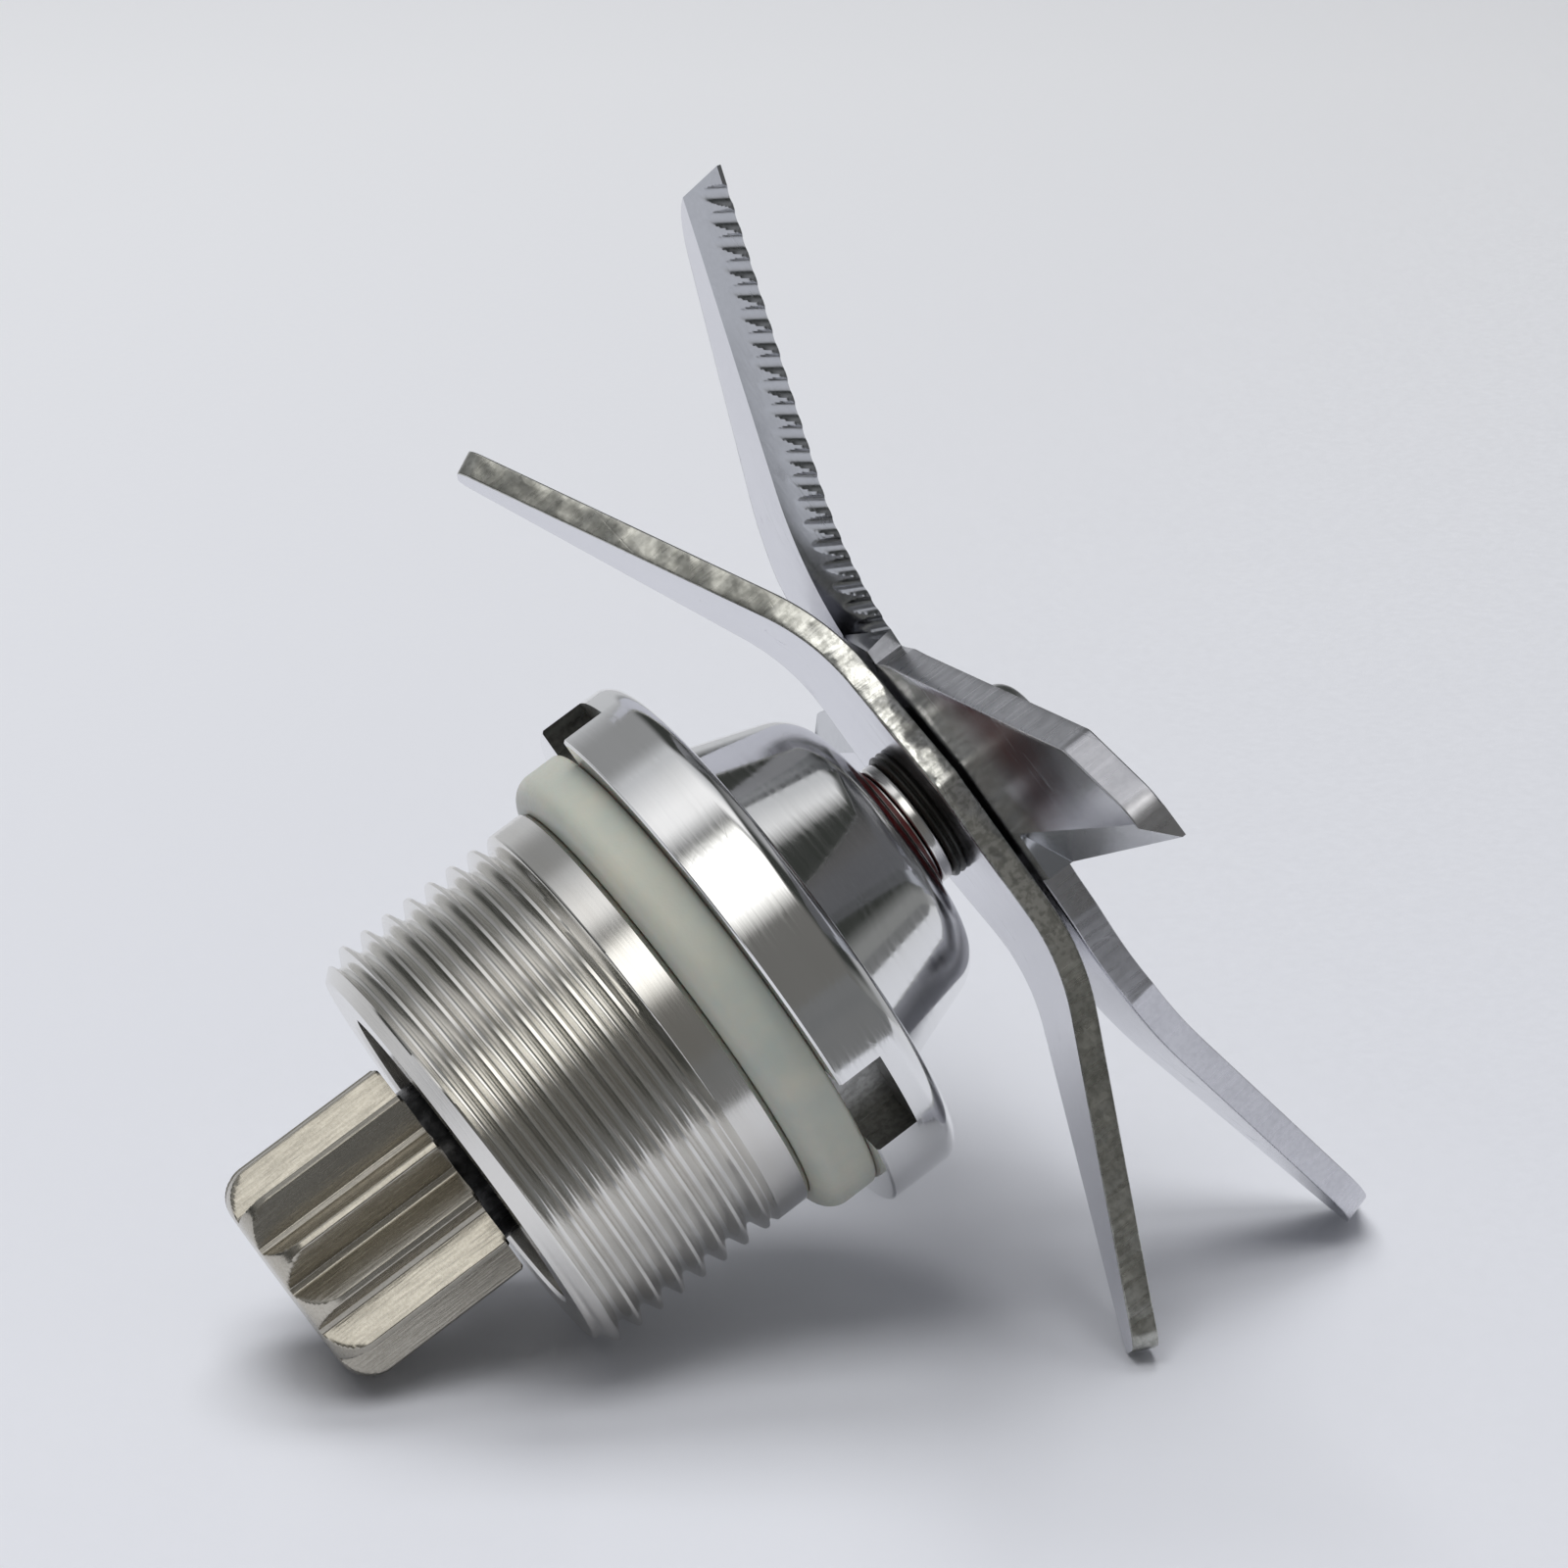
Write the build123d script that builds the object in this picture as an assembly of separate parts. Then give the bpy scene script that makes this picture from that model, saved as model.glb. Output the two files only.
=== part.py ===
from build123d import *
import math
import os

# Blade assembly of a kitchen blender. A turned housing screws into the floor of the jar and
# holds two ball bearings. The shaft in them carries a drive spline below and two blades above.
# Frame: +Z runs along the shaft towards the blades. The origin lies on the shaft's axis, at the
# flange's underside. Azimuths are counted from +X towards +Y.
# Sizes are in millimetres and degrees.

# Clearances
fit_gap = 0.02
running_gap = 0.05
turning_gap = 0.2

# Housing: threaded barrel, flange and dome in one piece
thread_diameter = 36.0
thread_pitch = 2.0
thread_turns = 8
thread_depth = 1.2
thread_crest = 0.25
thread_root = 0.4
thread_end_land = 0.45
pilot_length = 2.55
pilot_chamfer = 0.45
lead_height = 1.5
lead_depth = 1.4
flange_overhang = 4.0
flange_diameter = thread_diameter + 2 * flange_overhang
flange_height = 6.45
flange_round = 1.5
notch_count = 3
notch_azimuth = 13.0
notch_width = 7.8
notch_height = 3.6
notch_depth = 3.4
dome_base_diameter = 30.2
dome_corner_diameter = 23.7
dome_corner_height = 16.0
dome_top_height = 16.7
dome_round = 4.0
bearing_shoulder_height = 4.3
bearing_shoulder_diameter = 20.0
shaft_bore_diameter = 11.4

# Gasket under the flange, in a groove of the barrel
gasket_height = 4.65
gasket_overhang = 2.0
gasket_diameter = thread_diameter + 2 * gasket_overhang
gasket_groove_depth = 0.4
gasket_round = 1.9
gasket_top_round = 0.4

# Ball bearings, both alike
bearing_bore = 10.0
bearing_diameter = 26.0
bearing_width = 8.0
bearing_chamfer = 0.3
ball_count = 7
ball_diameter = 4.762
race_to_ball = 1.04
race_lip = 0.53
shield_thickness = 0.3
shield_inset = 0.2
shield_seat = 0.4
cage_thickness = 1.6
cage_width = 5.8
cage_gap = 0.1
sleeve_wall = 1.6

# Circlip that holds the bearings in the barrel
circlip_inset = 1.3
circlip_thickness = 1.2
circlip_width = 2.2
circlip_groove_depth = 0.6
circlip_play = 0.05
circlip_ear_radius = 1.9
circlip_ear_hole = 1.6
circlip_ear_angle = 13.0
circlip_azimuth = 82.0

# Drive spline
spline_gap = 1.0
spline_length = 15.0
spline_teeth = 12
spline_azimuth = 17.0
spline_diameter = 19.0
spline_root_diameter = 14.6
spline_crest = 0.55
spline_root_flat = 0.5
spline_round = 2.8
spline_end_wall = 2.0
spline_spacer_diameter = 13.6

# Shaft
stub_diameter = 8.0
stub_end_gap = 0.4
shaft_collar_diameter = 12.4
shaft_collar_height = 1.6
seat_diameter = 8.0
seat_flats = 6.4
seat_sink = 0.2
stud_diameter = 6.0
stud_length = 4.2
shaft_chamfer = 0.6

# Shaft seal and its garter spring
seal_diameter = 16.0
seal_depth = 6.0
seal_rise = 0.7
seal_case_wall = 0.8
seal_web = 1.9
seal_shoulder = 1.7
seal_lip_height = 1.5
seal_lip_wall = 1.2
garter_wire_radius = 0.42

# Washer, collar, shim, lock washer and nut
washer_diameter = 10.5
washer_thickness = 1.2
washer_round = 0.35
collar_diameter = 11.4
collar_height = 1.1
collar_groove = 0.3
shim_diameter = 14.0
shim_thickness = 0.3
lock_diameter = 11.6
lock_thickness = 0.8
lock_slot = 0.8
lock_slot_azimuth = 45.0
nut_flats = 10.0
nut_hex_height = 3.6
nut_dome_diameter = 9.2
nut_dome_height = 2.0
nut_dome_round = 1.7
nut_chamfer = 0.5

# Lower blade: two plain arms, bent down
lower_thickness = 2.0
lower_azimuth = -5.6
lower_reach = 41.8
lower_hub_width = 21.8
lower_tip_width = 4.2
lower_bend_azimuth = -1.0
lower_bend_start = 10.9
lower_bend_radius = 18.4
lower_bend_angle = -25.6

# Upper blade, serrated pair of arms, bent up
upper_thickness = 2.4
upper_hub_diameter = 25.0
serrated_azimuth = 21.8
serrated_cut_reach = 52.0
serrated_back_reach = 47.6
serrated_cut_root = 4.3
serrated_cut_tip = 3.3
serrated_web = 13.8
serrated_web_reach = 17.0
serrated_back_tip = 5.6
serrated_tip_round = 8.0
serrated_bevel_root = 4.9
serrated_bevel_tip = 4.9
serrated_bend_azimuth = 6.9
serrated_bend_start = 14.0
serrated_bend_radius = 47.0
serrated_bend_angle = 15.8

# Upper blade, plain pair of arms, nearly flat
plain_azimuth = 102.8
plain_cut_reach = 48.4
plain_nose_reach = 47.8
plain_back_reach = 42.4
plain_cut_root = 8.9
plain_cut_tip = 0.3
plain_nose = 3.3
plain_web = 12.7
plain_web_reach = 10.0
plain_back_tip = 8.1
plain_back_round = 1.2
plain_nose_round = 3.0
plain_bevel_root = 4.9
plain_bevel_tip = 2.6
plain_bend_azimuth = 102.8
plain_bend_start = 12.0
plain_bend_radius = 12.0
plain_bend_angle = 1.5

# Ground edges of the upper blade
bevel_land = 0.3
bevel_start = 14.6
bevel_stations = 9
tip_overrun = 6.0
flute_pitch = 1.8
flute_radius = 1.0
flute_angle = 31.0
flute_bite = 0.4
flute_margin = 1.0

# Heights that follow from the sizes above, from the drive end up
thread_radius = thread_diameter / 2
pilot_bottom = -(gasket_height + pilot_chamfer + pilot_length)
barrel_end = pilot_bottom - thread_turns * thread_pitch - thread_end_land
circlip_bottom = barrel_end + circlip_inset
lower_bearing_bottom = circlip_bottom + circlip_thickness
lower_bearing_top = lower_bearing_bottom + bearing_width
upper_bearing_top = bearing_shoulder_height
upper_bearing_bottom = upper_bearing_top - bearing_width
spline_top = barrel_end - spline_gap
spline_bottom = spline_top - spline_length
seal_bottom = dome_top_height - seal_depth
seal_top = dome_top_height + seal_rise
washer_bottom = seal_top + turning_gap
collar_bottom = washer_bottom + washer_thickness
lower_bottom = collar_bottom + collar_height
shim_bottom = lower_bottom + lower_thickness
upper_bottom = shim_bottom + shim_thickness
lock_bottom = upper_bottom + upper_thickness
nut_bottom = lock_bottom + lock_thickness
stud_top = nut_bottom + stud_length

# Radii that follow from the sizes above
shaft_radius = bearing_bore / 2
barrel_bore = bearing_diameter / 2 + fit_gap
pitch_radius = (bearing_bore + bearing_diameter) / 4
ball_radius = ball_diameter / 2
race_radius = ball_radius * race_to_ball
inner_race = pitch_radius - ball_radius - running_gap
outer_race = pitch_radius + ball_radius + running_gap
inner_lip = inner_race + race_lip
outer_lip = outer_race - race_lip


def turned(points, rounds=()):
    """Turn (radius, height) corners about Z; rounds holds (corner, rounding radius) pairs."""
    face = make_face(Polyline(*points, close=True))
    for corner, radius in rounds:
        near = face.vertices().sort_by_distance(Vector(*corner, 0))[0]
        face = fillet(near, radius)
    return revolve(Plane.XZ * face, Axis.Z)


def tube(inner, outer, bottom, top):
    """Plain ring between two radii and two heights."""
    return turned([(inner, bottom), (outer, bottom), (outer, top), (inner, top)])


def make_housing():
    """Barrel with a ridged outside, notched flange and dome, with the bores inside."""
    lead_radius = thread_radius - lead_depth
    groove_floor = thread_radius - gasket_groove_depth
    circlip_floor = barrel_bore + circlip_groove_depth
    groove_low = circlip_bottom - circlip_play
    groove_high = circlip_bottom + circlip_thickness
    shaft_room = shaft_bore_diameter / 2
    collar_room = bearing_shoulder_diameter / 2
    collar_top = bearing_shoulder_height + shaft_collar_height + turning_gap
    pocket = seal_diameter / 2
    rim_corner = (flange_diameter / 2, flange_height)
    dome_corner = (dome_corner_diameter / 2, dome_corner_height)
    points = [
        (barrel_bore, barrel_end),
        (lead_radius, barrel_end),
        (thread_radius, barrel_end + lead_height),
        (thread_radius, -gasket_height - pilot_chamfer),
        (groove_floor, -gasket_height),
        (groove_floor, 0),
        (flange_diameter / 2, 0),
        rim_corner,
        (dome_base_diameter / 2, flange_height),
        dome_corner,
        (pocket, dome_top_height),
        (pocket, seal_bottom),
        (shaft_room, seal_bottom),
        (shaft_room, collar_top),
        (collar_room, collar_top),
        (collar_room, bearing_shoulder_height),
        (barrel_bore, bearing_shoulder_height),
        (barrel_bore, groove_high),
        (circlip_floor, groove_high),
        (circlip_floor, groove_low),
        (barrel_bore, groove_low),
    ]
    body = turned(points, [(dome_corner, dome_round), (rim_corner, flange_round)])
    return body - thread_grooves() - flange_notches()


def thread_grooves():
    """Rings that cut the thread's turns at its pitch."""
    half_root = thread_root / 2
    half_mouth = (thread_pitch - thread_crest) / 2
    floor = thread_radius - thread_depth
    flank = (half_mouth - half_root) / thread_depth
    beyond = thread_radius + thread_depth
    half_beyond = half_root + flank * (beyond - floor)
    rings = []
    for turn in range(thread_turns):
        middle = pilot_bottom - thread_pitch * (turn + 0.5)
        rings.append(turned([
            (floor, middle - half_root),
            (beyond, middle - half_beyond),
            (beyond, middle + half_beyond),
            (floor, middle + half_root),
        ]))
    return rings


def flange_notches():
    """Blocks that cut the flange's notches, open to its underside and rim."""
    start = flange_diameter / 2 - notch_depth
    block = Box(2 * notch_depth, notch_width, 2 * notch_height)
    placed = Pos(start + notch_depth, 0, 0) * block
    step = 360 / notch_count
    return [Rot(0, 0, notch_azimuth + step * index) * placed for index in range(notch_count)]


def make_gasket():
    """Ring in the barrel's groove, its lower rim rounded."""
    inner = thread_radius - gasket_groove_depth + fit_gap
    outer = gasket_diameter / 2
    low_rim, high_rim = (outer, -gasket_height), (outer, 0)
    points = [(inner, -gasket_height), low_rim, high_rim, (inner, 0)]
    return turned(points, [(low_rim, gasket_round), (high_rim, gasket_top_round)])


def make_bearing(bottom):
    """Outer ring, inner ring, balls, cage and shields of a bearing that stands on a height."""
    middle = bottom + bearing_width / 2
    half = bearing_width / 2
    low, high = bottom, bottom + bearing_width
    step = half - shield_inset - shield_thickness
    seat = outer_lip + shield_seat
    outer = turned([
        (seat, low),
        (bearing_diameter / 2 - bearing_chamfer, low),
        (bearing_diameter / 2, low + bearing_chamfer),
        (bearing_diameter / 2, high - bearing_chamfer),
        (bearing_diameter / 2 - bearing_chamfer, high),
        (seat, high),
        (seat, middle + step),
        (outer_lip, middle + step),
        (outer_lip, middle - step),
        (seat, middle - step),
    ])
    inner = tube(shaft_radius + fit_gap, inner_lip, low, high)
    groove = Torus(outer_race - race_radius, race_radius)
    outer -= Pos(0, 0, middle) * groove
    groove = Torus(inner_race + race_radius, race_radius)
    inner -= Pos(0, 0, middle) * groove
    places = [Pos(0, 0, middle) * place for place in PolarLocations(pitch_radius, ball_count)]
    balls = [place * Sphere(ball_radius) for place in places]
    cage = tube(
        pitch_radius - cage_thickness / 2,
        pitch_radius + cage_thickness / 2,
        middle - cage_width / 2,
        middle + cage_width / 2,
    )
    pocket = Rot(0, 90, 0) * Cylinder(ball_radius + cage_gap, 2 * cage_thickness)
    cage -= [place * pocket for place in places]
    plate = tube(inner_lip + turning_gap, seat - fit_gap, 0, shield_thickness)
    shields = [Pos(0, 0, middle + step) * plate, Pos(0, 0, middle - step - shield_thickness) * plate]
    return outer, inner, Compound(balls), cage, Compound(shields)


def make_circlip():
    """Open spring ring with two eared ends."""
    outer = barrel_bore + circlip_groove_depth - fit_gap
    inner = outer - circlip_width
    gap_side = outer * math.tan(math.radians(circlip_ear_angle))
    gap = make_face(Polyline((0, 0), (outer, gap_side), (2 * outer, 0), (outer, -gap_side), close=True))
    ring = Circle(outer) - Circle(inner) - gap
    for side in (-1, 1):
        centre = Rot(0, 0, side * circlip_ear_angle) * Pos(inner, 0)
        ring += centre * Circle(circlip_ear_radius)
        ring -= centre * Circle(circlip_ear_hole / 2)
    ring &= Circle(outer)
    solid = extrude(ring, circlip_thickness)
    return Pos(0, 0, circlip_bottom) * Rot(0, 0, circlip_azimuth) * solid


def make_spline():
    """Toothed drive end with a rounded nose and a blind bore for the shaft's stub."""
    tip = spline_diameter / 2
    root = spline_root_diameter / 2
    crest_half = math.degrees(math.asin(spline_crest / 2 / tip))
    root_half = math.degrees(math.asin(spline_root_flat / 2 / root))
    step = 360 / spline_teeth
    points = []
    for tooth in range(spline_teeth):
        crest = spline_azimuth + step * tooth
        valley = crest + step / 2
        points.append(polar(tip, crest - crest_half))
        points.append(polar(tip, crest + crest_half))
        points.append(polar(root, valley - root_half))
        points.append(polar(root, valley + root_half))
    teeth = extrude(make_face(Polyline(*points, close=True)), spline_length)
    rim = (tip, 0)
    nose = turned([(0, 0), rim, (tip, spline_length), (0, spline_length)], [(rim, spline_round)])
    bore = Cylinder(stub_diameter / 2 + fit_gap, 2 * (spline_length - spline_end_wall))
    solid = (teeth & nose) - Pos(0, 0, spline_length) * bore
    return Pos(0, 0, spline_bottom) * solid


def polar(radius, azimuth):
    """Point at a radius and an azimuth."""
    angle = math.radians(azimuth)
    return radius * math.cos(angle), radius * math.sin(angle)


def make_shaft():
    """Stepped shaft: stub, bearing journals with a collar, seat with flats, stud."""
    stub = stub_diameter / 2
    collar = shaft_collar_diameter / 2
    seat = seat_diameter / 2
    stud = stud_diameter / 2
    stub_bottom = spline_bottom + spline_end_wall + stub_end_gap
    collar_top = bearing_shoulder_height + shaft_collar_height
    seat_top = lock_bottom - seat_sink
    body = turned([
        (0, stub_bottom),
        (stub - shaft_chamfer, stub_bottom),
        (stub, stub_bottom + shaft_chamfer),
        (stub, spline_top),
        (shaft_radius, spline_top),
        (shaft_radius, bearing_shoulder_height),
        (collar, bearing_shoulder_height),
        (collar, collar_top),
        (shaft_radius, collar_top),
        (shaft_radius, washer_bottom),
        (seat, washer_bottom),
        (seat, seat_top),
        (stud, seat_top),
        (stud, stud_top - shaft_chamfer),
        (stud - shaft_chamfer, stud_top),
        (0, stud_top),
    ])
    flat_height = seat_top - lower_bottom
    flat = Box(seat_diameter, seat_diameter, flat_height)
    for side in (-1, 1):
        offset = side * (seat_flats + seat_diameter) / 2
        body -= Pos(0, offset, lower_bottom + flat_height / 2) * flat
    return body


def seat_hole(bottom, thickness):
    """Hole with two flats that fits the shaft's seat."""
    round_hole = Cylinder(seat_diameter / 2 + fit_gap, 2 * thickness)
    slab = Box(2 * seat_diameter, seat_flats + 2 * fit_gap, 2 * thickness)
    return Pos(0, 0, bottom + thickness / 2) * (round_hole & slab)


def make_seal():
    """Rubber seal: case, web with a raised crown and a lip that leans on the shaft."""
    case_outer = seal_diameter / 2 - fit_gap
    case_inner = case_outer - seal_case_wall
    lip = shaft_radius + running_gap
    lip_back = lip + seal_lip_wall
    crown = case_outer - seal_shoulder
    web_bottom = dome_top_height - seal_web
    return turned([
        (case_inner, seal_bottom),
        (case_outer, seal_bottom),
        (case_outer, dome_top_height - fit_gap),
        (crown, dome_top_height + seal_rise / 2),
        (lip + seal_lip_wall / 2, seal_top),
        (lip + turning_gap, seal_top),
        (lip + turning_gap, web_bottom),
        (lip, seal_bottom + seal_lip_height),
        (lip, seal_bottom + seal_lip_height / 2),
        (lip + turning_gap, seal_bottom),
        (lip_back, seal_bottom),
        (lip_back, web_bottom),
        (case_inner, web_bottom),
    ])


def make_garter():
    """Spring ring around the seal's lip."""
    lip_back = shaft_radius + running_gap + seal_lip_wall
    ring = Torus(lip_back + fit_gap + garter_wire_radius, garter_wire_radius)
    return Pos(0, 0, seal_bottom + seal_lip_height) * ring


def make_collar():
    """Collar with two rounded ridges and a groove between them."""
    inner = seat_diameter / 2 + fit_gap
    outer = collar_diameter / 2
    ridge = collar_height / 2
    low, middle, high = collar_bottom, collar_bottom + ridge, collar_bottom + collar_height
    crests = (outer, low + ridge / 2), (outer, high - ridge / 2)
    points = [
        (inner, low),
        (outer - collar_groove, low),
        crests[0],
        (outer - collar_groove, middle),
        crests[1],
        (outer - collar_groove, high),
        (inner, high),
    ]
    return turned(points, [(crest, collar_groove / 2) for crest in crests])


def make_washer():
    """Thrust washer with rounded rims."""
    inner = seat_diameter / 2 + fit_gap
    outer = washer_diameter / 2
    top = washer_bottom + washer_thickness
    rims = (outer, washer_bottom), (outer, top)
    points = [(inner, washer_bottom), *rims, (inner, top)]
    return turned(points, [(rim, washer_round) for rim in rims])


def make_lock_washer():
    """Split ring under the nut."""
    ring = tube(stud_diameter / 2 + fit_gap, lock_diameter / 2, lock_bottom, nut_bottom)
    slot = Box(lock_diameter, lock_slot, 2 * lock_thickness)
    return ring - Rot(0, 0, lock_slot_azimuth) * Pos(lock_diameter / 2, 0, nut_bottom) * slot


def make_nut():
    """Cap nut: chamfered hexagon with a rounded cap and a blind hole for the stud."""
    hex_height = nut_hex_height
    corner = nut_flats / math.sqrt(3)
    cap_top = hex_height + nut_dome_height
    hexagon = extrude(RegularPolygon(nut_flats / 2, 6, major_radius=False), hex_height)
    rims = turned([
        (0, 0),
        (corner - nut_chamfer, 0),
        (corner, nut_chamfer),
        (corner, hex_height - nut_chamfer),
        (corner - nut_chamfer, hex_height),
        (0, hex_height),
    ])
    brow = (nut_dome_diameter / 2, cap_top)
    cap = turned([(0, 0), (nut_dome_diameter / 2, 0), brow, (0, cap_top)], [(brow, nut_dome_round)])
    hole = Cylinder(stud_diameter / 2 + fit_gap, 2 * (stud_length + shaft_chamfer))
    return Pos(0, 0, nut_bottom) * (((hexagon & rims) + cap) - hole)


def sheet(bottom, thickness, start, radius, angle, reach):
    """Sheet along +X that lies flat as far as start, turns by angle on a radius and runs on."""
    up = 1 if angle >= 0 else -1
    turn = math.radians(abs(angle))
    centre = bottom + up * radius
    ahead = (math.cos(turn) * reach, up * math.sin(turn) * reach)

    def on_arc(arc_radius, part):
        """Point of an arc about the bend's centre, part of the way round."""
        at = turn * part
        return start + arc_radius * math.sin(at), centre - up * arc_radius * math.cos(at)

    def beyond(point):
        """Far end of the straight run that starts at a point."""
        return point[0] + ahead[0], point[1] + ahead[1]

    low, high = radius, radius - up * thickness
    outline = [
        Line((-start, bottom), on_arc(low, 0)),
        ThreePointArc(on_arc(low, 0), on_arc(low, 0.5), on_arc(low, 1)),
        Line(on_arc(low, 1), beyond(on_arc(low, 1))),
        Line(beyond(on_arc(low, 1)), beyond(on_arc(high, 1))),
        Line(beyond(on_arc(high, 1)), on_arc(high, 1)),
        ThreePointArc(on_arc(high, 1), on_arc(high, 0.5), on_arc(high, 0)),
        Line(on_arc(high, 0), (-start, bottom + thickness)),
        Line((-start, bottom + thickness), (-start, bottom)),
    ]
    return extrude(Plane.XZ * make_face(outline), reach, both=True)


def sheet_height(along, start, radius, angle):
    """Rise of a bent sheet's lower face, and its slope in radians, at a distance along it."""
    up = 1 if angle >= 0 else -1
    turn = math.radians(abs(angle))
    arc_end = start + radius * math.sin(turn)
    if along <= start:
        return 0.0, 0.0
    if along < arc_end:
        at = math.asin((along - start) / radius)
        return up * radius * (1 - math.cos(at)), up * at
    rise = radius * (1 - math.cos(turn)) + (along - arc_end) * math.tan(turn)
    return up * rise, up * turn


def prism(points, bottom, depth):
    """Upright block over a plan outline, depth above and below a height."""
    return Pos(0, 0, bottom) * extrude(make_face(Polyline(*points, close=True)), depth, both=True)


def sheet_point(out, across, bottom, bend, skew):
    """Point of a bent sheet's lower face over a plan point, with the face's normal and slope."""
    turn = math.radians(skew)
    rise, slope = sheet_height(out * math.cos(turn) - across * math.sin(turn), *bend)
    tilt = math.sin(slope)
    normal = Vector(-tilt * math.cos(turn), tilt * math.sin(turn), math.cos(slope))
    return Vector(out, across, bottom + rise), normal, slope


def bent_arm(outline, end, bottom, thickness, bend, skew):
    """Arm along +X: a bent sheet over a plan outline, cut off square to the sheet along end.

    end holds plan points in order, from the arm's back to its other side.
    """
    reach = max(out for out, _ in outline)
    arm = Rot(0, 0, -skew) * sheet(bottom, thickness, *bend, reach) & prism(outline, bottom, reach)
    block = Pos(0, -reach, 0) * Box(4 * reach, 2 * reach, 4 * reach)
    for start, stop in zip(end, end[1:]):
        first, normal, _ = sheet_point(*start, bottom, bend, skew)
        second, _, _ = sheet_point(*stop, bottom, bend, skew)
        arm -= Plane(origin=first, x_dir=second - first, z_dir=normal) * block
    return arm


def round_corner(arm, corner, radius, bottom, thickness, bend, skew):
    """Round the edge that stands on a plan point of an arm."""
    foot, normal, _ = sheet_point(*corner, bottom, bend, skew)
    edge = arm.edges().sort_by_distance(foot + normal * (thickness / 2))[0]
    return fillet(edge, radius)


def on_line(first, second, out):
    """Plan point at a distance out on the line through two plan points."""
    share = (out - first[0]) / (second[0] - first[0])
    return out, first[1] + (second[1] - first[1]) * share


def make_lower_blade():
    """Long blade with two arms that taper to blunt tips and lean down."""
    hub_half = lower_hub_width / 2
    tip_half = lower_tip_width / 2
    bend = (lower_bend_start, lower_bend_radius, lower_bend_angle)
    skew = lower_azimuth - lower_bend_azimuth
    past = lower_reach + tip_overrun
    back, front = (lower_reach, -tip_half), (lower_reach, tip_half)
    outline = [
        (0, hub_half),
        (0, -hub_half),
        on_line((0, -hub_half), back, past),
        on_line((0, hub_half), front, past),
    ]
    make = (lower_bottom, lower_thickness, bend, skew)
    arm = bent_arm(outline, [back, front], *make)
    for corner in (back, front):
        arm = round_corner(arm, corner, tip_half / 2, *make)
    arm = Rot(0, 0, lower_azimuth) * arm
    blade = arm + Rot(0, 0, 180) * arm
    return blade - seat_hole(lower_bottom, lower_thickness)


def grind(arm, cut_root, cut_tip, cut_reach, bevel_root, bevel_tip, bend, skew):
    """Grind the underside of an arm to a bevel that rises to the cutting edge."""
    past = cut_reach + tip_overrun
    step = (past - bevel_start) / (bevel_stations - 1)
    sections = []
    for index in range(bevel_stations):
        out = bevel_start + step * index
        share = out / cut_reach
        width = bevel_root + (bevel_tip - bevel_root) * share
        edge = cut_root + (cut_tip - cut_root) * share
        foot, _, _ = sheet_point(out, edge - width, upper_bottom, bend, skew)
        under, _, slope = sheet_point(out, edge, upper_bottom, bend, skew)
        land = under.Z + upper_thickness / math.cos(slope) - bevel_land
        lean = land - foot.Z
        sections.append(make_face(Polyline(
            (out, edge - 2 * width, foot.Z - lean),
            (out, edge + width, land + lean),
            (out, edge + width, foot.Z - lean),
            close=True,
        )))
    return arm - loft(sections, ruled=True)


def flute(arm, cut_root, cut_tip, cut_reach, bevel_width, bend, skew):
    """Cut a row of round flutes across a bevel, so that the cutting edge is serrated."""
    lean = math.radians(flute_angle)
    count = int((cut_reach - bevel_start - 2 * flute_margin) / flute_pitch) + 1
    cutters = []
    for index in range(count):
        out = bevel_start + flute_margin + flute_pitch * index
        edge = cut_root + (cut_tip - cut_root) * out / cut_reach
        foot, _, slope = sheet_point(out, edge - flute_bite, upper_bottom, bend, skew)
        top = foot + Vector(0, 0, upper_thickness / math.cos(slope))
        under = Vector(math.sin(slope), 0, -math.cos(slope))
        inward = Vector(0, -1, 0)
        axis = inward * math.cos(lean) + under * math.sin(lean)
        aside = under * math.cos(lean) - inward * math.sin(lean)
        middle = Plane(origin=top + aside * flute_radius, z_dir=axis)
        cutters.append(middle * Cylinder(flute_radius, 4 * bevel_width))
    # Neighbouring flutes run into each other, so every other one is cut at a time
    return arm - cutters[::2] - cutters[1::2]


def make_serrated_arm():
    """Arm that leans up, with a serrated edge and an oblique end."""
    bend = (serrated_bend_start, serrated_bend_radius, serrated_bend_angle)
    skew = serrated_azimuth - serrated_bend_azimuth
    past = serrated_cut_reach + tip_overrun
    web = (serrated_web_reach, -serrated_web)
    back = (serrated_back_reach, -serrated_back_tip)
    root, tip = (0, serrated_cut_root), (serrated_cut_reach, serrated_cut_tip)
    outline = [
        root,
        (0, -upper_hub_diameter / 2),
        (serrated_web_reach / 2, -serrated_web),
        web,
        on_line(web, back, past),
        on_line(root, tip, past),
    ]
    make = (upper_bottom, upper_thickness, bend, skew)
    arm = round_corner(bent_arm(outline, [back, tip], *make), back, serrated_tip_round, *make)
    cut = (serrated_cut_root, serrated_cut_tip, serrated_cut_reach)
    arm = grind(arm, *cut, serrated_bevel_root, serrated_bevel_tip, bend, skew)
    arm = flute(arm, *cut, serrated_bevel_root, bend, skew)
    return Rot(0, 0, serrated_azimuth) * arm


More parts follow.
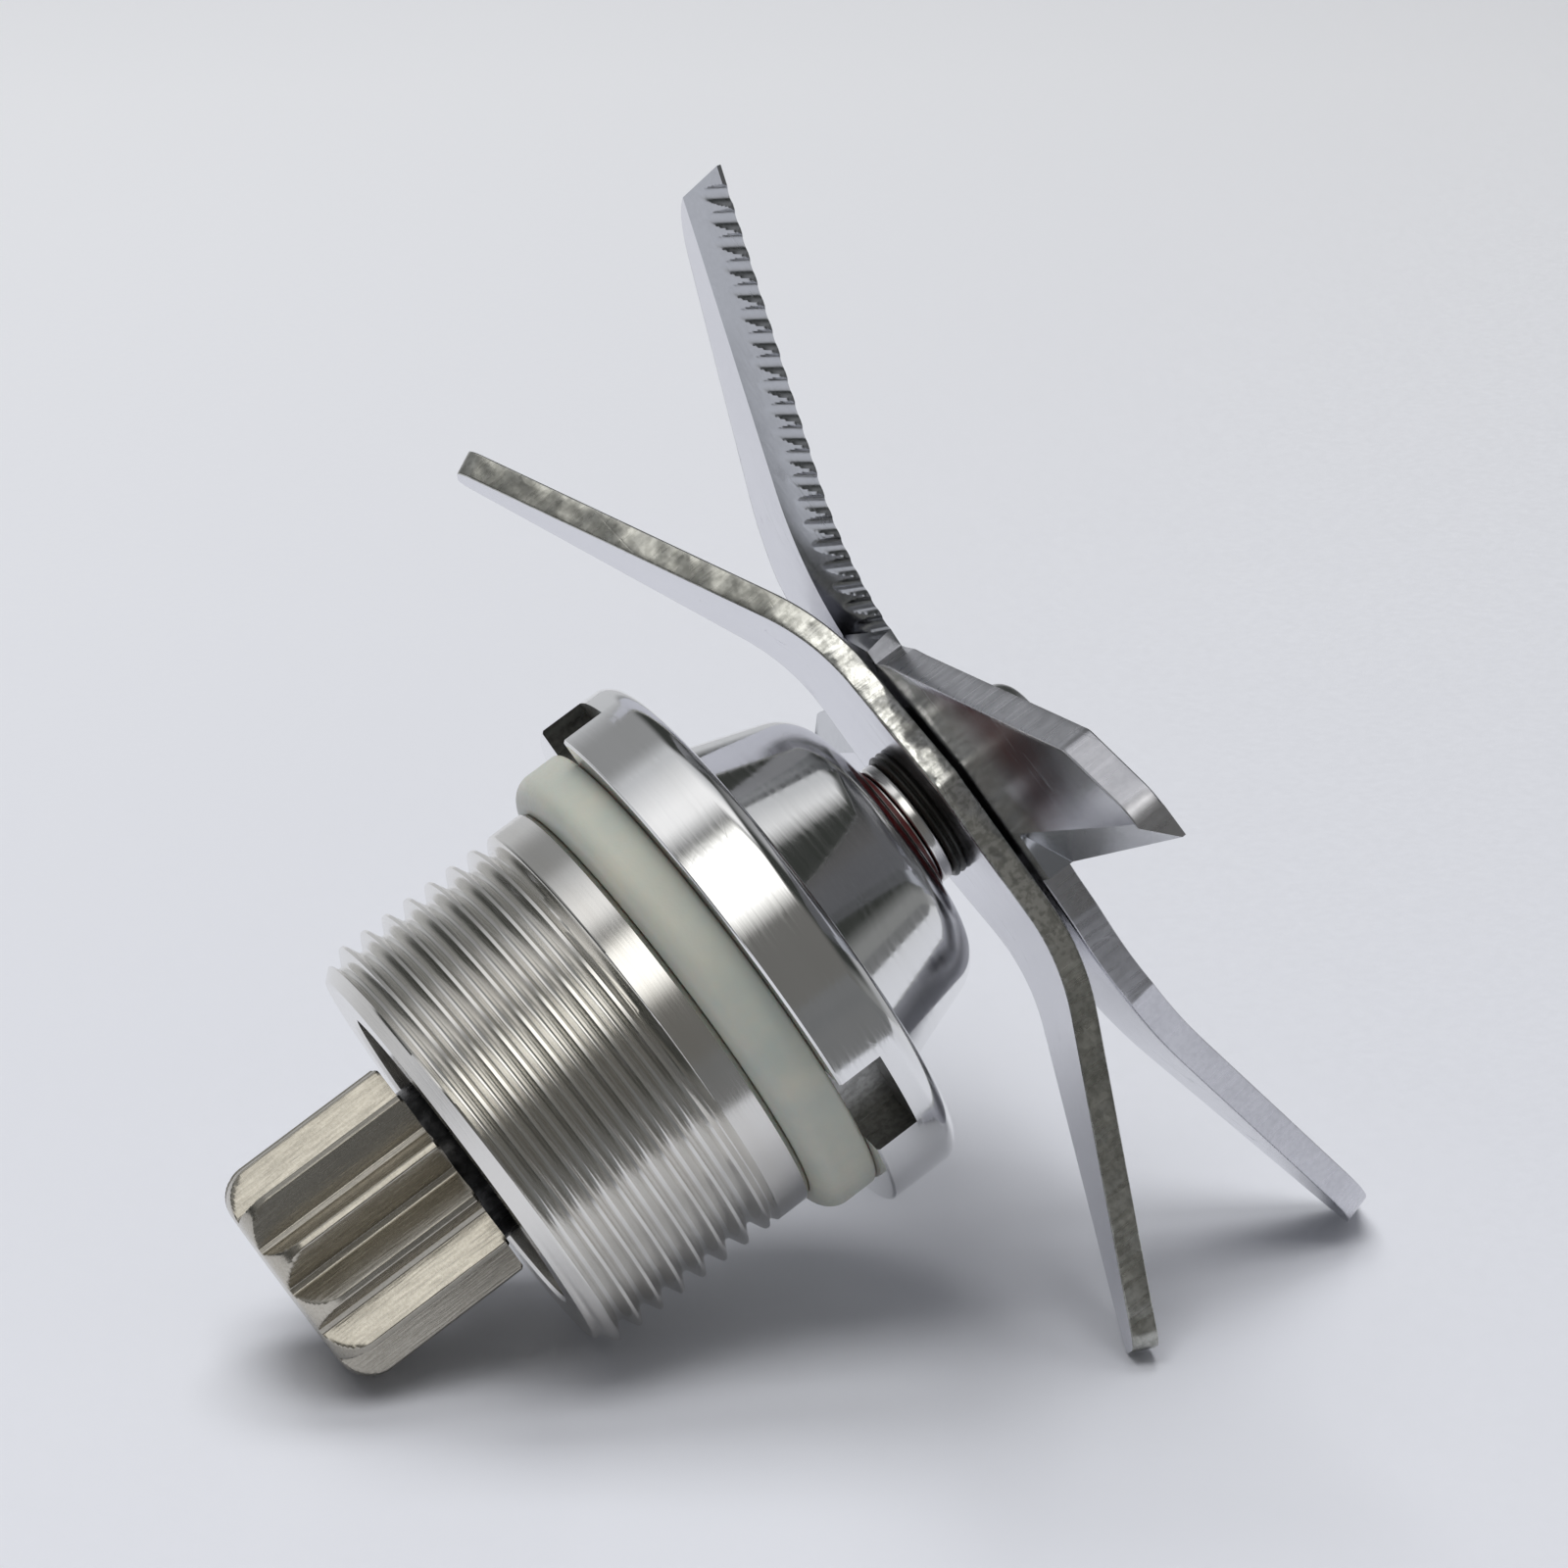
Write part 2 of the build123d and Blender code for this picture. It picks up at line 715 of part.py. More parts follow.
def make_plain_arm():
    """Nearly flat arm with a plain edge and a clipped back corner."""
    bend = (plain_bend_start, plain_bend_radius, plain_bend_angle)
    skew = plain_azimuth - plain_bend_azimuth
    past = plain_cut_reach + tip_overrun
    web = (plain_web_reach, -plain_web)
    back = (plain_back_reach, -plain_back_tip)
    nose = (plain_nose_reach, -plain_nose)
    root, tip = (0, plain_cut_root), (plain_cut_reach, plain_cut_tip)
    outline = [
        root,
        (0, -upper_hub_diameter / 2),
        web,
        on_line(web, back, past),
        on_line(root, tip, past),
    ]
    make = (upper_bottom, upper_thickness, bend, skew)
    arm = bent_arm(outline, [back, nose, tip], *make)
    arm = round_corner(arm, back, plain_back_round, *make)
    arm = round_corner(arm, nose, plain_nose_round, *make)
    cut = (plain_cut_root, plain_cut_tip, plain_cut_reach)
    arm = grind(arm, *cut, plain_bevel_root, plain_bevel_tip, bend, skew)
    return Rot(0, 0, plain_azimuth) * arm


def make_upper_blade():
    """Cross-shaped blade: two serrated arms that lean up and two plain arms."""
    hub = Pos(0, 0, upper_bottom + upper_thickness / 2) * Cylinder(upper_hub_diameter / 2, upper_thickness)
    serrated, plain = make_serrated_arm(), make_plain_arm()
    half_turn = Rot(0, 0, 180)
    blade = hub + serrated + plain + half_turn * serrated + half_turn * plain
    return blade - seat_hole(upper_bottom, upper_thickness)


def make_parts():
    """Every node of the assembly by name."""
    inner = shaft_radius + fit_gap
    sleeve_outer = bearing_diameter / 2
    between = lower_bearing_top, upper_bearing_bottom
    lower = make_bearing(lower_bearing_bottom)
    upper = make_bearing(upper_bearing_bottom)
    parts = {
        "housing": make_housing(),
        "gasket": make_gasket(),
        "circlip": make_circlip(),
        "outer_sleeve": tube(sleeve_outer - sleeve_wall, sleeve_outer, *between),
        "inner_sleeve": tube(inner, inner + sleeve_wall, *between),
        "spline_spacer": tube(inner, spline_spacer_diameter / 2, spline_top, lower_bearing_bottom),
        "drive_spline": make_spline(),
        "shaft": make_shaft(),
        "shaft_seal": make_seal(),
        "garter_spring": make_garter(),
        "thrust_washer": make_washer(),
        "spacer_collar": make_collar(),
        "lower_blade": make_lower_blade(),
        "blade_shim": tube(seat_diameter / 2 + fit_gap, shim_diameter / 2, shim_bottom, upper_bottom),
        "upper_blade": make_upper_blade(),
        "lock_washer": make_lock_washer(),
        "cap_nut": make_nut(),
    }
    pieces = ("outer_ring", "inner_ring", "balls", "cage", "shields")
    for place, bearing in (("lower", lower), ("upper", upper)):
        for piece, solid in zip(pieces, bearing):
            parts[f"{place}_{piece}"] = solid
    return parts


os.makedirs("parts", exist_ok=True)
for name, solid in make_parts().items():
    export_step(solid, f"parts/{name}.step")
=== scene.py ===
import functools
import logging
import math
from dataclasses import dataclass, field
from enum import Enum
from typing import Sequence

import bmesh
import bpy
import numpy as np
from mathutils import Matrix, Vector


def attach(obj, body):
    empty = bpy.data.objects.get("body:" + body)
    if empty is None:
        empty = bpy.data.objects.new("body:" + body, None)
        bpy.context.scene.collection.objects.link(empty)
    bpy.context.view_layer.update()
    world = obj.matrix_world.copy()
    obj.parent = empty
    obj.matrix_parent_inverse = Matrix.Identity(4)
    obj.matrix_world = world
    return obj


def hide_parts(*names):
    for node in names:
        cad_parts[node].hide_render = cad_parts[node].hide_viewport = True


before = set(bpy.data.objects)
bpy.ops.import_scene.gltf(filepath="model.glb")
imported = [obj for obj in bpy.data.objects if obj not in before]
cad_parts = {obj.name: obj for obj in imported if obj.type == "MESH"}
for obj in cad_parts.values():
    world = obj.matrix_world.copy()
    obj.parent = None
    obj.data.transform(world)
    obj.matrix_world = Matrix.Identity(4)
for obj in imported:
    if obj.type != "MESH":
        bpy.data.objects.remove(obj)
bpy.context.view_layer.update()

# Blade assembly of a kitchen blender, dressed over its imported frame. Sizes are in millimetres and
# degrees, and become metres where a mesh is made. +Z runs along the shaft towards the blades.

MM = 0.001
Array = np.ndarray
Material = bpy.types.Material
Socket = bpy.types.NodeSocket
Colour = tuple[float, float, float]
log = logging.getLogger("blade_assembly")


# Surfaces

# Distance in millimetres under which points become one.
WELD = 0.004


def rounded(corners: Sequence[tuple[float, float]], radii: Sequence[float], closed: bool = False,
            steps: int = 8, hold: float = 0.04) -> Array:
    """Line through corners, each with a radius turned into an arc of it.

    An arc of radius r at a corner between unit directions a and b starts r / tan(half the angle)
    from the corner and is swept about the point at r / sin(half the angle) on the bisector. A point
    a little before and after each arc keeps the shading of the straight runs flat.

    Args:
        corners: Corner points in order.
        radii: Rounding radius of each corner, 0 for a sharp one.
        closed: Whether the line returns to its first corner.
        steps: Points on each arc.
        hold: Distance of the extra points from each arc.

    Returns:
        Array of points, one row each.
    """
    line = np.asarray(corners, float)
    count = len(line)
    runs: list[Array] = []
    for index in range(count):
        inner = closed or 0 < index < count - 1
        if not inner or radii[index] <= 0:
            runs.append(line[index:index + 1])
            continue
        before = line[index - 1] - line[index]
        after = line[(index + 1) % count] - line[index]
        before, after = before / np.linalg.norm(before), after / np.linalg.norm(after)
        half = math.acos(max(-1.0, min(1.0, float(before @ after)))) / 2
        reach = radii[index] / math.tan(half)
        bisector = (before + after) / np.linalg.norm(before + after)
        centre = line[index] + bisector * radii[index] / math.sin(half)
        first = (line[index] + before * reach - centre) / radii[index]
        last = (line[index] + after * reach - centre) / radii[index]
        sweep = math.acos(max(-1.0, min(1.0, float(first @ last))))
        share = np.linspace(0, 1, steps)[:, None]
        arc = (np.sin((1 - share) * sweep) * first + np.sin(share * sweep) * last) / math.sin(sweep)
        runs.append(np.vstack([
            line[index] + before * (reach + hold),
            centre + arc * radii[index],
            line[index] + after * (reach + hold),
        ]))
    return np.vstack(runs)


def turned(line: Array, azimuths: Array) -> Array:
    """Turn a (radius, height) line about Z: x = r cos a, y = r sin a, z = height.

    Args:
        line: Points of the line, one row each.
        azimuths: Angles in radians, for all rows or one set for each row.

    Returns:
        Grid of points, line by azimuth.
    """
    angles = np.broadcast_to(azimuths, (len(line), np.shape(azimuths)[-1]))
    radius = line[:, :1]
    height = np.broadcast_to(line[:, 1:2], angles.shape)
    return np.stack([radius * np.cos(angles), radius * np.sin(angles), height], -1)


def full_turn(count: int) -> Array:
    """Evenly spaced angles of one turn, in radians, without the closing one."""
    return np.linspace(0, 2 * math.pi, count, endpoint=False)


class Shell:
    """Closed mesh that is put together from grids of points."""

    def __init__(self) -> None:
        """Start with no grids."""
        self.points: list[Array] = []
        self.quads: list[Array] = []
        self.tags: list[Array] = []
        self.count = 0

    def grid(self, points: Array, tag: int = 0, ring: bool = False, tags: Array | None = None) -> None:
        """Add a grid whose cells become faces.

        Args:
            points: Grid of points in millimetres, rows by columns.
            tag: Number of the finish on these faces.
            ring: Whether the last column joins the first.
            tags: Number of the finish for each column of faces, in place of tag.
        """
        rows, columns = points.shape[:2]
        index = np.arange(rows * columns).reshape(rows, columns) + self.count
        if ring:
            index = np.hstack([index, index[:, :1]])
        cells = np.stack([index[:-1, :-1], index[:-1, 1:], index[1:, 1:], index[1:, :-1]], -1)
        per_column = np.full(cells.shape[1], tag) if tags is None else np.asarray(tags)
        self.points.append(points.reshape(-1, 3))
        self.quads.append(cells.reshape(-1, 4))
        self.tags.append(np.broadcast_to(per_column, cells.shape[:2]).reshape(-1))
        self.count += rows * columns

    def make(self, name: str, finishes: Sequence[Material], sharp: float = 28.0) -> bpy.types.Object:
        """Weld the grids into one mesh object with smooth shading.

        Args:
            name: Name of the object.
            finishes: Materials in the order of the tags.
            sharp: Angle in degrees from which an edge is shaded sharp.

        Returns:
            The new object, linked to the scene.
        """
        mesh = bpy.data.meshes.new(name)
        points = np.concatenate(self.points) * MM
        mesh.from_pydata(points.tolist(), [], np.concatenate(self.quads).tolist())
        mesh.polygons.foreach_set("material_index", np.concatenate(self.tags).astype(np.int32))
        work = bmesh.new()
        work.from_mesh(mesh)
        bmesh.ops.remove_doubles(work, verts=work.verts[:], dist=WELD * MM)
        bmesh.ops.dissolve_degenerate(work, edges=work.edges[:], dist=WELD * MM * 0.2)
        bmesh.ops.recalc_face_normals(work, faces=work.faces[:])
        work.to_mesh(mesh)
        work.free()
        for finish in finishes:
            mesh.materials.append(finish)
        mesh.polygons.foreach_set("use_smooth", np.ones(len(mesh.polygons), bool))
        mesh.set_sharp_from_angle(angle=math.radians(sharp))
        mesh.update()
        made = bpy.data.objects.new(name, mesh)
        bpy.context.scene.collection.objects.link(made)
        return made


def turned_ring(name: str, line: Array, finish: Material, columns: int = 192) -> bpy.types.Object:
    """Closed section turned about the shaft.

    Args:
        name: Name of the object.
        line: Points (radius, height) of the section.
        finish: Its material.
        columns: Columns of the grid around the shaft.

    Returns:
        The ring's object.
    """
    shell = Shell()
    shell.grid(turned(np.vstack([line, line[:1]]), full_turn(columns)), 0, ring=True)
    return shell.make(name, [finish])


class Body(Enum):
    """Bodies of the frame that pieces ride on."""

    HOUSING = "housing"
    ROTOR = "rotor"


def seat(piece: bpy.types.Object, body: Body, slot: str, *nodes: str) -> None:
    """Put a piece on its body and let it stand for nodes of the frame.

    Args:
        piece: Finished object.
        body: Body that it moves with.
        slot: Not used.
        nodes: Nodes of the frame that it replaces.
    """
    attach(piece, body.value)
    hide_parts(*nodes)
    log.info("%s: %d faces, rides on %s", piece.name, len(piece.data.polygons), body.value)


# Finishes

# Depths of the bumps in metres, and how far wear changes the roughness.
MARK_DEPTH = 0.00003
DENT_DEPTH = 0.0004
GRAIN_DEPTH = 0.00004
WEAR = 0.12


class Nodes:
    """Node tree that is filled by short calls."""

    def __init__(self, tree: bpy.types.NodeTree) -> None:
        """Keep the tree and empty it."""
        self.tree = tree
        tree.nodes.clear()

    def add(self, kind: str, inputs: dict | None = None, **settings: object) -> bpy.types.Node:
        """Add a node, set its fields and fill or link its inputs.

        Args:
            kind: Blender's name for the node type.
            inputs: Value or output socket for each input, by name or number.
            settings: Fields of the node.

        Returns:
            The new node.
        """
        node = self.tree.nodes.new(kind)
        for key, value in settings.items():
            setattr(node, key, value)
        for key, value in (inputs or {}).items():
            if isinstance(value, Socket):
                self.tree.links.new(value, node.inputs[key])
            else:
                node.inputs[key].default_value = value
        return node

    def math(self, operation: str, first: object, second: object = 0.0) -> Socket:
        """Output of a Math node with one or two operands."""
        return self.add("ShaderNodeMath", {0: first, 1: second}, operation=operation).outputs[0]

    def span(self, value: object, low: float, high: float, to_low: float = 0.0,
             to_high: float = 1.0) -> Socket:
        """Output of a clamped Map Range node from one span to another."""
        return self.add("ShaderNodeMapRange", {
            "Value": value, "From Min": low, "From Max": high, "To Min": to_low, "To Max": to_high,
        }, clamp=True).outputs[0]

    def noise(self, place: Socket, scale: object, detail: float = 2.0, **more: float) -> Socket:
        """Output of a Noise node at a place."""
        inputs = {"Vector": place, "Scale": scale, "Detail": detail, **more}
        return self.add("ShaderNodeTexNoise", inputs).outputs[0]

    def blend(self, share: object, first: object, second: object) -> Socket:
        """Output of a colour Mix node."""
        first, second = ((*side, 1.0) if isinstance(side, tuple) else side for side in (first, second))
        return self.add("ShaderNodeMix", {0: share, 6: first, 7: second}, data_type="RGBA").outputs[2]


class Effect(Enum):
    """Node groups that several finishes share."""

    PATINA = "Patina"
    TURNING = "Turning marks"
    SCRATCHES = "Fine scratches"
    SHEAR = "Shear lines"


def new_group(effect: Effect, outputs: Sequence[str], **inputs: float) -> tuple[Nodes, bpy.types.NodeOutputs]:
    """Empty shader node group that reads a place.

    Args:
        effect: Name of the group.
        outputs: Names of the value outputs.
        inputs: Starting value of each further input.

    Returns:
        The group's tree, ready to be filled, and the sockets of its inputs.
    """
    tree = bpy.data.node_groups.new(effect.value, "ShaderNodeTree")
    tree.interface.new_socket("Vector", in_out="INPUT", socket_type="NodeSocketVector")
    for name, value in inputs.items():
        socket = tree.interface.new_socket(name, in_out="INPUT", socket_type="NodeSocketFloat")
        socket.default_value = value
    for name in outputs:
        tree.interface.new_socket(name, in_out="OUTPUT", socket_type="NodeSocketFloat")
    nodes = Nodes(tree)
    return nodes, nodes.add("NodeGroupInput").outputs


def patina_group() -> None:
    """Broad blotches and fine grain: two noises of the place, each spread over 0 to 1."""
    nodes, start = new_group(Effect.PATINA, ["Blotch", "Grain"], Broad=90, Fine=2500)
    broad = nodes.noise(start["Vector"], start["Broad"], 3.0, Roughness=0.55)
    fine = nodes.noise(start["Vector"], start["Fine"])
    nodes.add("NodeGroupOutput", {
        "Blotch": nodes.span(broad, 0.32, 0.68), "Grain": nodes.span(fine, 0.3, 0.7)})


def turning_group() -> None:
    """Lathe marks: noise of radius plus height, so that lines run around the axis."""
    nodes, start = new_group(Effect.TURNING, ["Lines", "Bands"], Scale=4000)
    place = nodes.add("ShaderNodeSeparateXYZ", {0: start["Vector"]}).outputs
    square = nodes.math("ADD", *(nodes.math("MULTIPLY", place[axis], place[axis]) for axis in (0, 1)))
    feed = nodes.math("ADD", nodes.math("SQRT", square), nodes.math("MULTIPLY", place[2], 0.83))
    broad = nodes.math("MULTIPLY", start["Scale"], 0.12)
    lines, bands = (
        nodes.add("ShaderNodeTexNoise", {"W": feed, "Scale": scale, "Detail": detail}, noise_dimensions="1D")
        for scale, detail in ((start["Scale"], 3.0), (broad, 2.0)))
    nodes.add("NodeGroupOutput", {
        "Lines": nodes.span(lines.outputs[0], 0.3, 0.7), "Bands": nodes.span(bands.outputs[0], 0.3, 0.7)})


def scratch_group() -> None:
    """Sparse scratches: thin ridges of a noise that is stretched along one direction, kept in patches."""
    nodes, start = new_group(Effect.SCRATCHES, ["Scratch", "Brush"], Scale=300, Turn=0.4)
    turn = nodes.add("ShaderNodeCombineXYZ", {2: start["Turn"]}).outputs[0]
    place = nodes.add("ShaderNodeMapping", {
        "Vector": start["Vector"], "Rotation": turn, "Scale": (0.06, 1.0, 1.0)}).outputs[0]
    brush = nodes.noise(place, nodes.math("MULTIPLY", start["Scale"], 14.0), 3.0)
    thread = nodes.noise(place, start["Scale"], 1.0, Distortion=0.3)
    ridge = nodes.math("ABSOLUTE", nodes.math("SUBTRACT", thread, 0.5))
    patch = nodes.noise(start["Vector"], nodes.math("MULTIPLY", start["Scale"], 0.5))
    line = nodes.math("MULTIPLY", nodes.span(ridge, 0.0, 0.012, 1.0, 0.0), nodes.span(patch, 0.5, 0.62))
    nodes.add("NodeGroupOutput", {"Scratch": line, "Brush": nodes.span(brush, 0.3, 0.7)})


def shear_group() -> None:
    """Sheared edge: fine lines through the sheet from a noise of x and y alone, broad dents and speckle."""
    nodes, start = new_group(Effect.SHEAR, ["Lines", "Dents", "Speckle"], Scale=2200)
    flat = nodes.add("ShaderNodeMapping", {"Vector": start["Vector"], "Scale": (1.0, 1.0, 0.08)}).outputs[0]
    lines = nodes.noise(flat, start["Scale"])
    dents = nodes.noise(start["Vector"], nodes.math("MULTIPLY", start["Scale"], 0.13), 1.0)
    speckle = nodes.noise(start["Vector"], nodes.math("MULTIPLY", start["Scale"], 0.9))
    nodes.add("NodeGroupOutput", {
        "Lines": nodes.span(lines, 0.3, 0.7), "Dents": nodes.span(dents, 0.25, 0.75),
        "Speckle": nodes.span(speckle, 0.4, 0.62)})


def place_group(nodes: Nodes, effect: Effect, vector: Socket, **values: float) -> bpy.types.NodeOutputs:
    """Put a shared group into a material.

    Args:
        nodes: The material's tree.
        effect: Which group.
        vector: Place that it reads.
        values: Values of its other inputs.

    Returns:
        The group's outputs.
    """
    return nodes.add("ShaderNodeGroup", {"Vector": vector, **values},
                     node_tree=bpy.data.node_groups[effect.value]).outputs


def new_material(name: str) -> tuple[Material, Nodes, Socket]:
    """Material with an empty tree.

    Args:
        name: Name of the material.

    Returns:
        The material, its tree and the Object coordinates in it.
    """
    material = bpy.data.materials.new(name)
    material.use_nodes = True
    nodes = Nodes(material.node_tree)
    return material, nodes, nodes.add("ShaderNodeTexCoord").outputs["Object"]


class Marks(Enum):
    """How a metal face was worked."""

    TURNED = "turned"
    BRUSHED = "brushed"
    SHEARED = "sheared"


@dataclass(frozen=True)
class MetalFinish:
    """Bare metal with marks of its making, blotches and fine grain."""

    name: str
    colour: Colour
    shade: Colour
    roughness: float
    spread: float
    marks: Marks
    scale: float
    bump: float
    turn: float = 0.4
    tint: float = 0.5
    dent: float = 0.0
    scratch: float = 1.0
    # Lighter colour of the middle near the axis: partly rubbed metal, partly painted highlight.
    rubbed_and_highlight: Colour | None = None
    rubbed_and_highlight_radius: float = 0.0

    def make(self) -> Material:
        """Build the material.

        Returns:
            Principled metal whose colour, roughness and normal follow the marks, with a lighter, smoother
            middle around the axis where that colour is given: partly rubbed metal, partly painted highlight.
        """
        material, nodes, place = new_material(self.name)
        patina = place_group(nodes, Effect.PATINA, place)
        scratch = place_group(nodes, Effect.SCRATCHES, place, Turn=self.turn)
        if self.marks is Marks.TURNED:
            work = place_group(nodes, Effect.TURNING, place, Scale=self.scale)
            line, wide = work["Lines"], work["Bands"]
        elif self.marks is Marks.BRUSHED:
            line, wide = scratch["Brush"], patina["Grain"]
        else:
            work = place_group(nodes, Effect.SHEAR, place, Scale=self.scale)
            line, wide = work["Lines"], work["Speckle"]
        share = nodes.math("ADD", nodes.math("MULTIPLY", patina["Blotch"], self.tint),
                           nodes.math("MULTIPLY", wide, 1 - self.tint))
        colour = nodes.blend(share, self.colour, self.shade)
        cuts = nodes.math("MULTIPLY", scratch["Scratch"], self.scratch)
        rough = nodes.span(line, 0, 1, self.roughness - self.spread, self.roughness + self.spread)
        rough = nodes.math("ADD", rough, nodes.math("MULTIPLY", cuts, WEAR))
        # Lighter, smoother middle near the axis: partly rubbed metal, partly painted highlight.
        if self.rubbed_and_highlight:
            flat = nodes.add("ShaderNodeVectorMath", {0: place, 1: (1, 1, 0)}, operation="MULTIPLY")
            radius = nodes.add("ShaderNodeVectorMath", {0: flat.outputs[0]}, operation="LENGTH")
            outer = self.rubbed_and_highlight_radius * MM
            rubbed_and_highlight_share = nodes.span(radius.outputs["Value"], 0.75 * outer, outer, 1.0, 0.0)
            bright = nodes.math("MULTIPLY", rubbed_and_highlight_share, nodes.span(share, 0.3, 0.7, 1.0, 0.35))
            colour = nodes.blend(bright, colour, self.rubbed_and_highlight)
            rough = nodes.math("SUBTRACT", rough, nodes.math("MULTIPLY", rubbed_and_highlight_share, WEAR))
        fine = {"Strength": self.bump, "Distance": MARK_DEPTH, "Height": nodes.math("SUBTRACT", line, cuts)}
        if self.dent:
            fine["Normal"] = nodes.add("ShaderNodeBump", {
                "Strength": self.dent, "Distance": DENT_DEPTH, "Height": work["Dents"]}).outputs[0]
        normal = nodes.add("ShaderNodeBump", fine).outputs[0]
        shader = nodes.add("ShaderNodeBsdfPrincipled", {
            "Base Color": colour, "Metallic": 1.0, "Roughness": rough, "Normal": normal})
        nodes.add("ShaderNodeOutputMaterial", {"Surface": shader.outputs[0]})
        return material


@dataclass(frozen=True)
class SoftFinish:
    """Rubber, silicone or plastic with a fine grain, faint blotches and some light through it."""

    name: str
    colour: Colour
    shade: Colour
    roughness: float
    bump: float
    through: float = 0.0
    depth: float = 0.002
    spread: float = 0.08

    def make(self) -> Material:
        """Build the material.

        Returns:
            Principled rubber or plastic whose colour, roughness and normal vary.
        """
        material, nodes, place = new_material(self.name)
        patina = place_group(nodes, Effect.PATINA, place, Broad=160.0, Fine=3500.0)
        colour = nodes.blend(patina["Blotch"], self.colour, self.shade)
        rough = nodes.span(patina["Grain"], 0, 1, self.roughness - self.spread, self.roughness + self.spread)
        normal = nodes.add("ShaderNodeBump", {
            "Strength": self.bump, "Distance": GRAIN_DEPTH, "Height": patina["Grain"]}).outputs[0]
        shader = nodes.add("ShaderNodeBsdfPrincipled", {
            "Base Color": colour, "Metallic": 0.0, "Roughness": rough, "Normal": normal,
            "Subsurface Weight": self.through, "Subsurface Scale": self.depth})
        nodes.add("ShaderNodeOutputMaterial", {"Surface": shader.outputs[0]})
        return material


class Finishes:
    """Every finish of the assembly, made once."""

    def __init__(self) -> None:
        """Build the shared groups first and then each finish."""
        for build in (patina_group, turning_group, scratch_group, shear_group):
            build()
        self.turned = MetalFinish(
            "Turned aluminium", (0.82, 0.81, 0.78), (0.76, 0.74, 0.70), 0.18, 0.03,
            Marks.TURNED, 5200, 0.03, scratch=0.3).make()
        self.polished = MetalFinish(
            "Polished aluminium", (0.88, 0.88, 0.88), (0.82, 0.82, 0.81), 0.11, 0.04,
            Marks.TURNED, 3600, 0.05, scratch=0.4).make()
        # Notch faces: matte milled metal, with its colour darkened as painted shade in the notches.
        self.shaded_milled = MetalFinish(
            "Milled aluminium with painted shade", (0.42, 0.42, 0.41), (0.22, 0.22, 0.21), 0.34, 0.08,
            Marks.SHEARED, 2600, 0.20).make()
        self.nickel = MetalFinish(
            "Satin nickel", (0.56, 0.53, 0.465), (0.45, 0.42, 0.36), 0.24, 0.06,
            Marks.SHEARED, 5200, 0.16, scratch=0.15).make()
        self.blade = MetalFinish(
            "Satin blade steel", (0.70, 0.70, 0.735), (0.63, 0.63, 0.67), 0.17, 0.04,
            Marks.BRUSHED, 300, 0.06).make()
        # The sheared edge turns lighter towards the hub: partly rubbed metal, partly painted highlight.
        self.sheared = MetalFinish(
            "Sheared steel edge", (0.60, 0.60, 0.56), (0.34, 0.34, 0.31), 0.30, 0.08,
            Marks.SHEARED, 2400, 0.22, dent=0.5, rubbed_and_highlight=(0.86, 0.86, 0.82), rubbed_and_highlight_radius=20.0).make()
        self.burnished = MetalFinish(
            "Burnished steel edge", (0.64, 0.64, 0.67), (0.56, 0.56, 0.59), 0.30, 0.06,
            Marks.SHEARED, 2400, 0.10, dent=0.12).make()
        self.ground = MetalFinish(
            "Ground bevel", (0.51, 0.52, 0.545), (0.45, 0.46, 0.48), 0.22, 0.04,
            Marks.BRUSHED, 300, 0.03, turn=1.9).make()
        self.bright = MetalFinish(
            "Bright steel", (0.82, 0.81, 0.79), (0.74, 0.73, 0.71), 0.16, 0.05,
            Marks.TURNED, 3200, 0.06).make()
        self.satin = MetalFinish(
            "Satin nut steel", (0.80, 0.80, 0.81), (0.74, 0.74, 0.74), 0.33, 0.06,
            Marks.TURNED, 3600, 0.08).make()
        self.steel = MetalFinish(
            "Inner steel", (0.62, 0.61, 0.60), (0.50, 0.49, 0.47), 0.26, 0.06,
            Marks.TURNED, 4200, 0.10).make()
        # Black steel for the bearing shields and spline spacer in the barrel's mouth: partly their own dark
        # colour, partly painted shade of the deep recess.
        self.shaded_black = MetalFinish(
            "Black steel with painted recess shade", (0.07, 0.07, 0.07), (0.02, 0.02, 0.02), 0.24, 0.06,
            Marks.SHEARED, 1800, 0.08).make()
        self.silicone = SoftFinish(
            "Milky silicone", (0.45, 0.485, 0.435), (0.55, 0.545, 0.46), 0.36, 0.10, 0.2, 0.003).make()
        self.red_rubber = SoftFinish(
            "Dark red rubber", (0.20, 0.022, 0.022), (0.12, 0.016, 0.016), 0.40, 0.15).make()
        self.black_rubber = SoftFinish(
            "Black rubber", (0.014, 0.015, 0.013), (0.028, 0.028, 0.022), 0.34, 0.12).make()
        self.plastic = SoftFinish(
            "Cage plastic", (0.09, 0.08, 0.06), (0.14, 0.12, 0.09), 0.45, 0.15).make()


# Housing and what sits in it

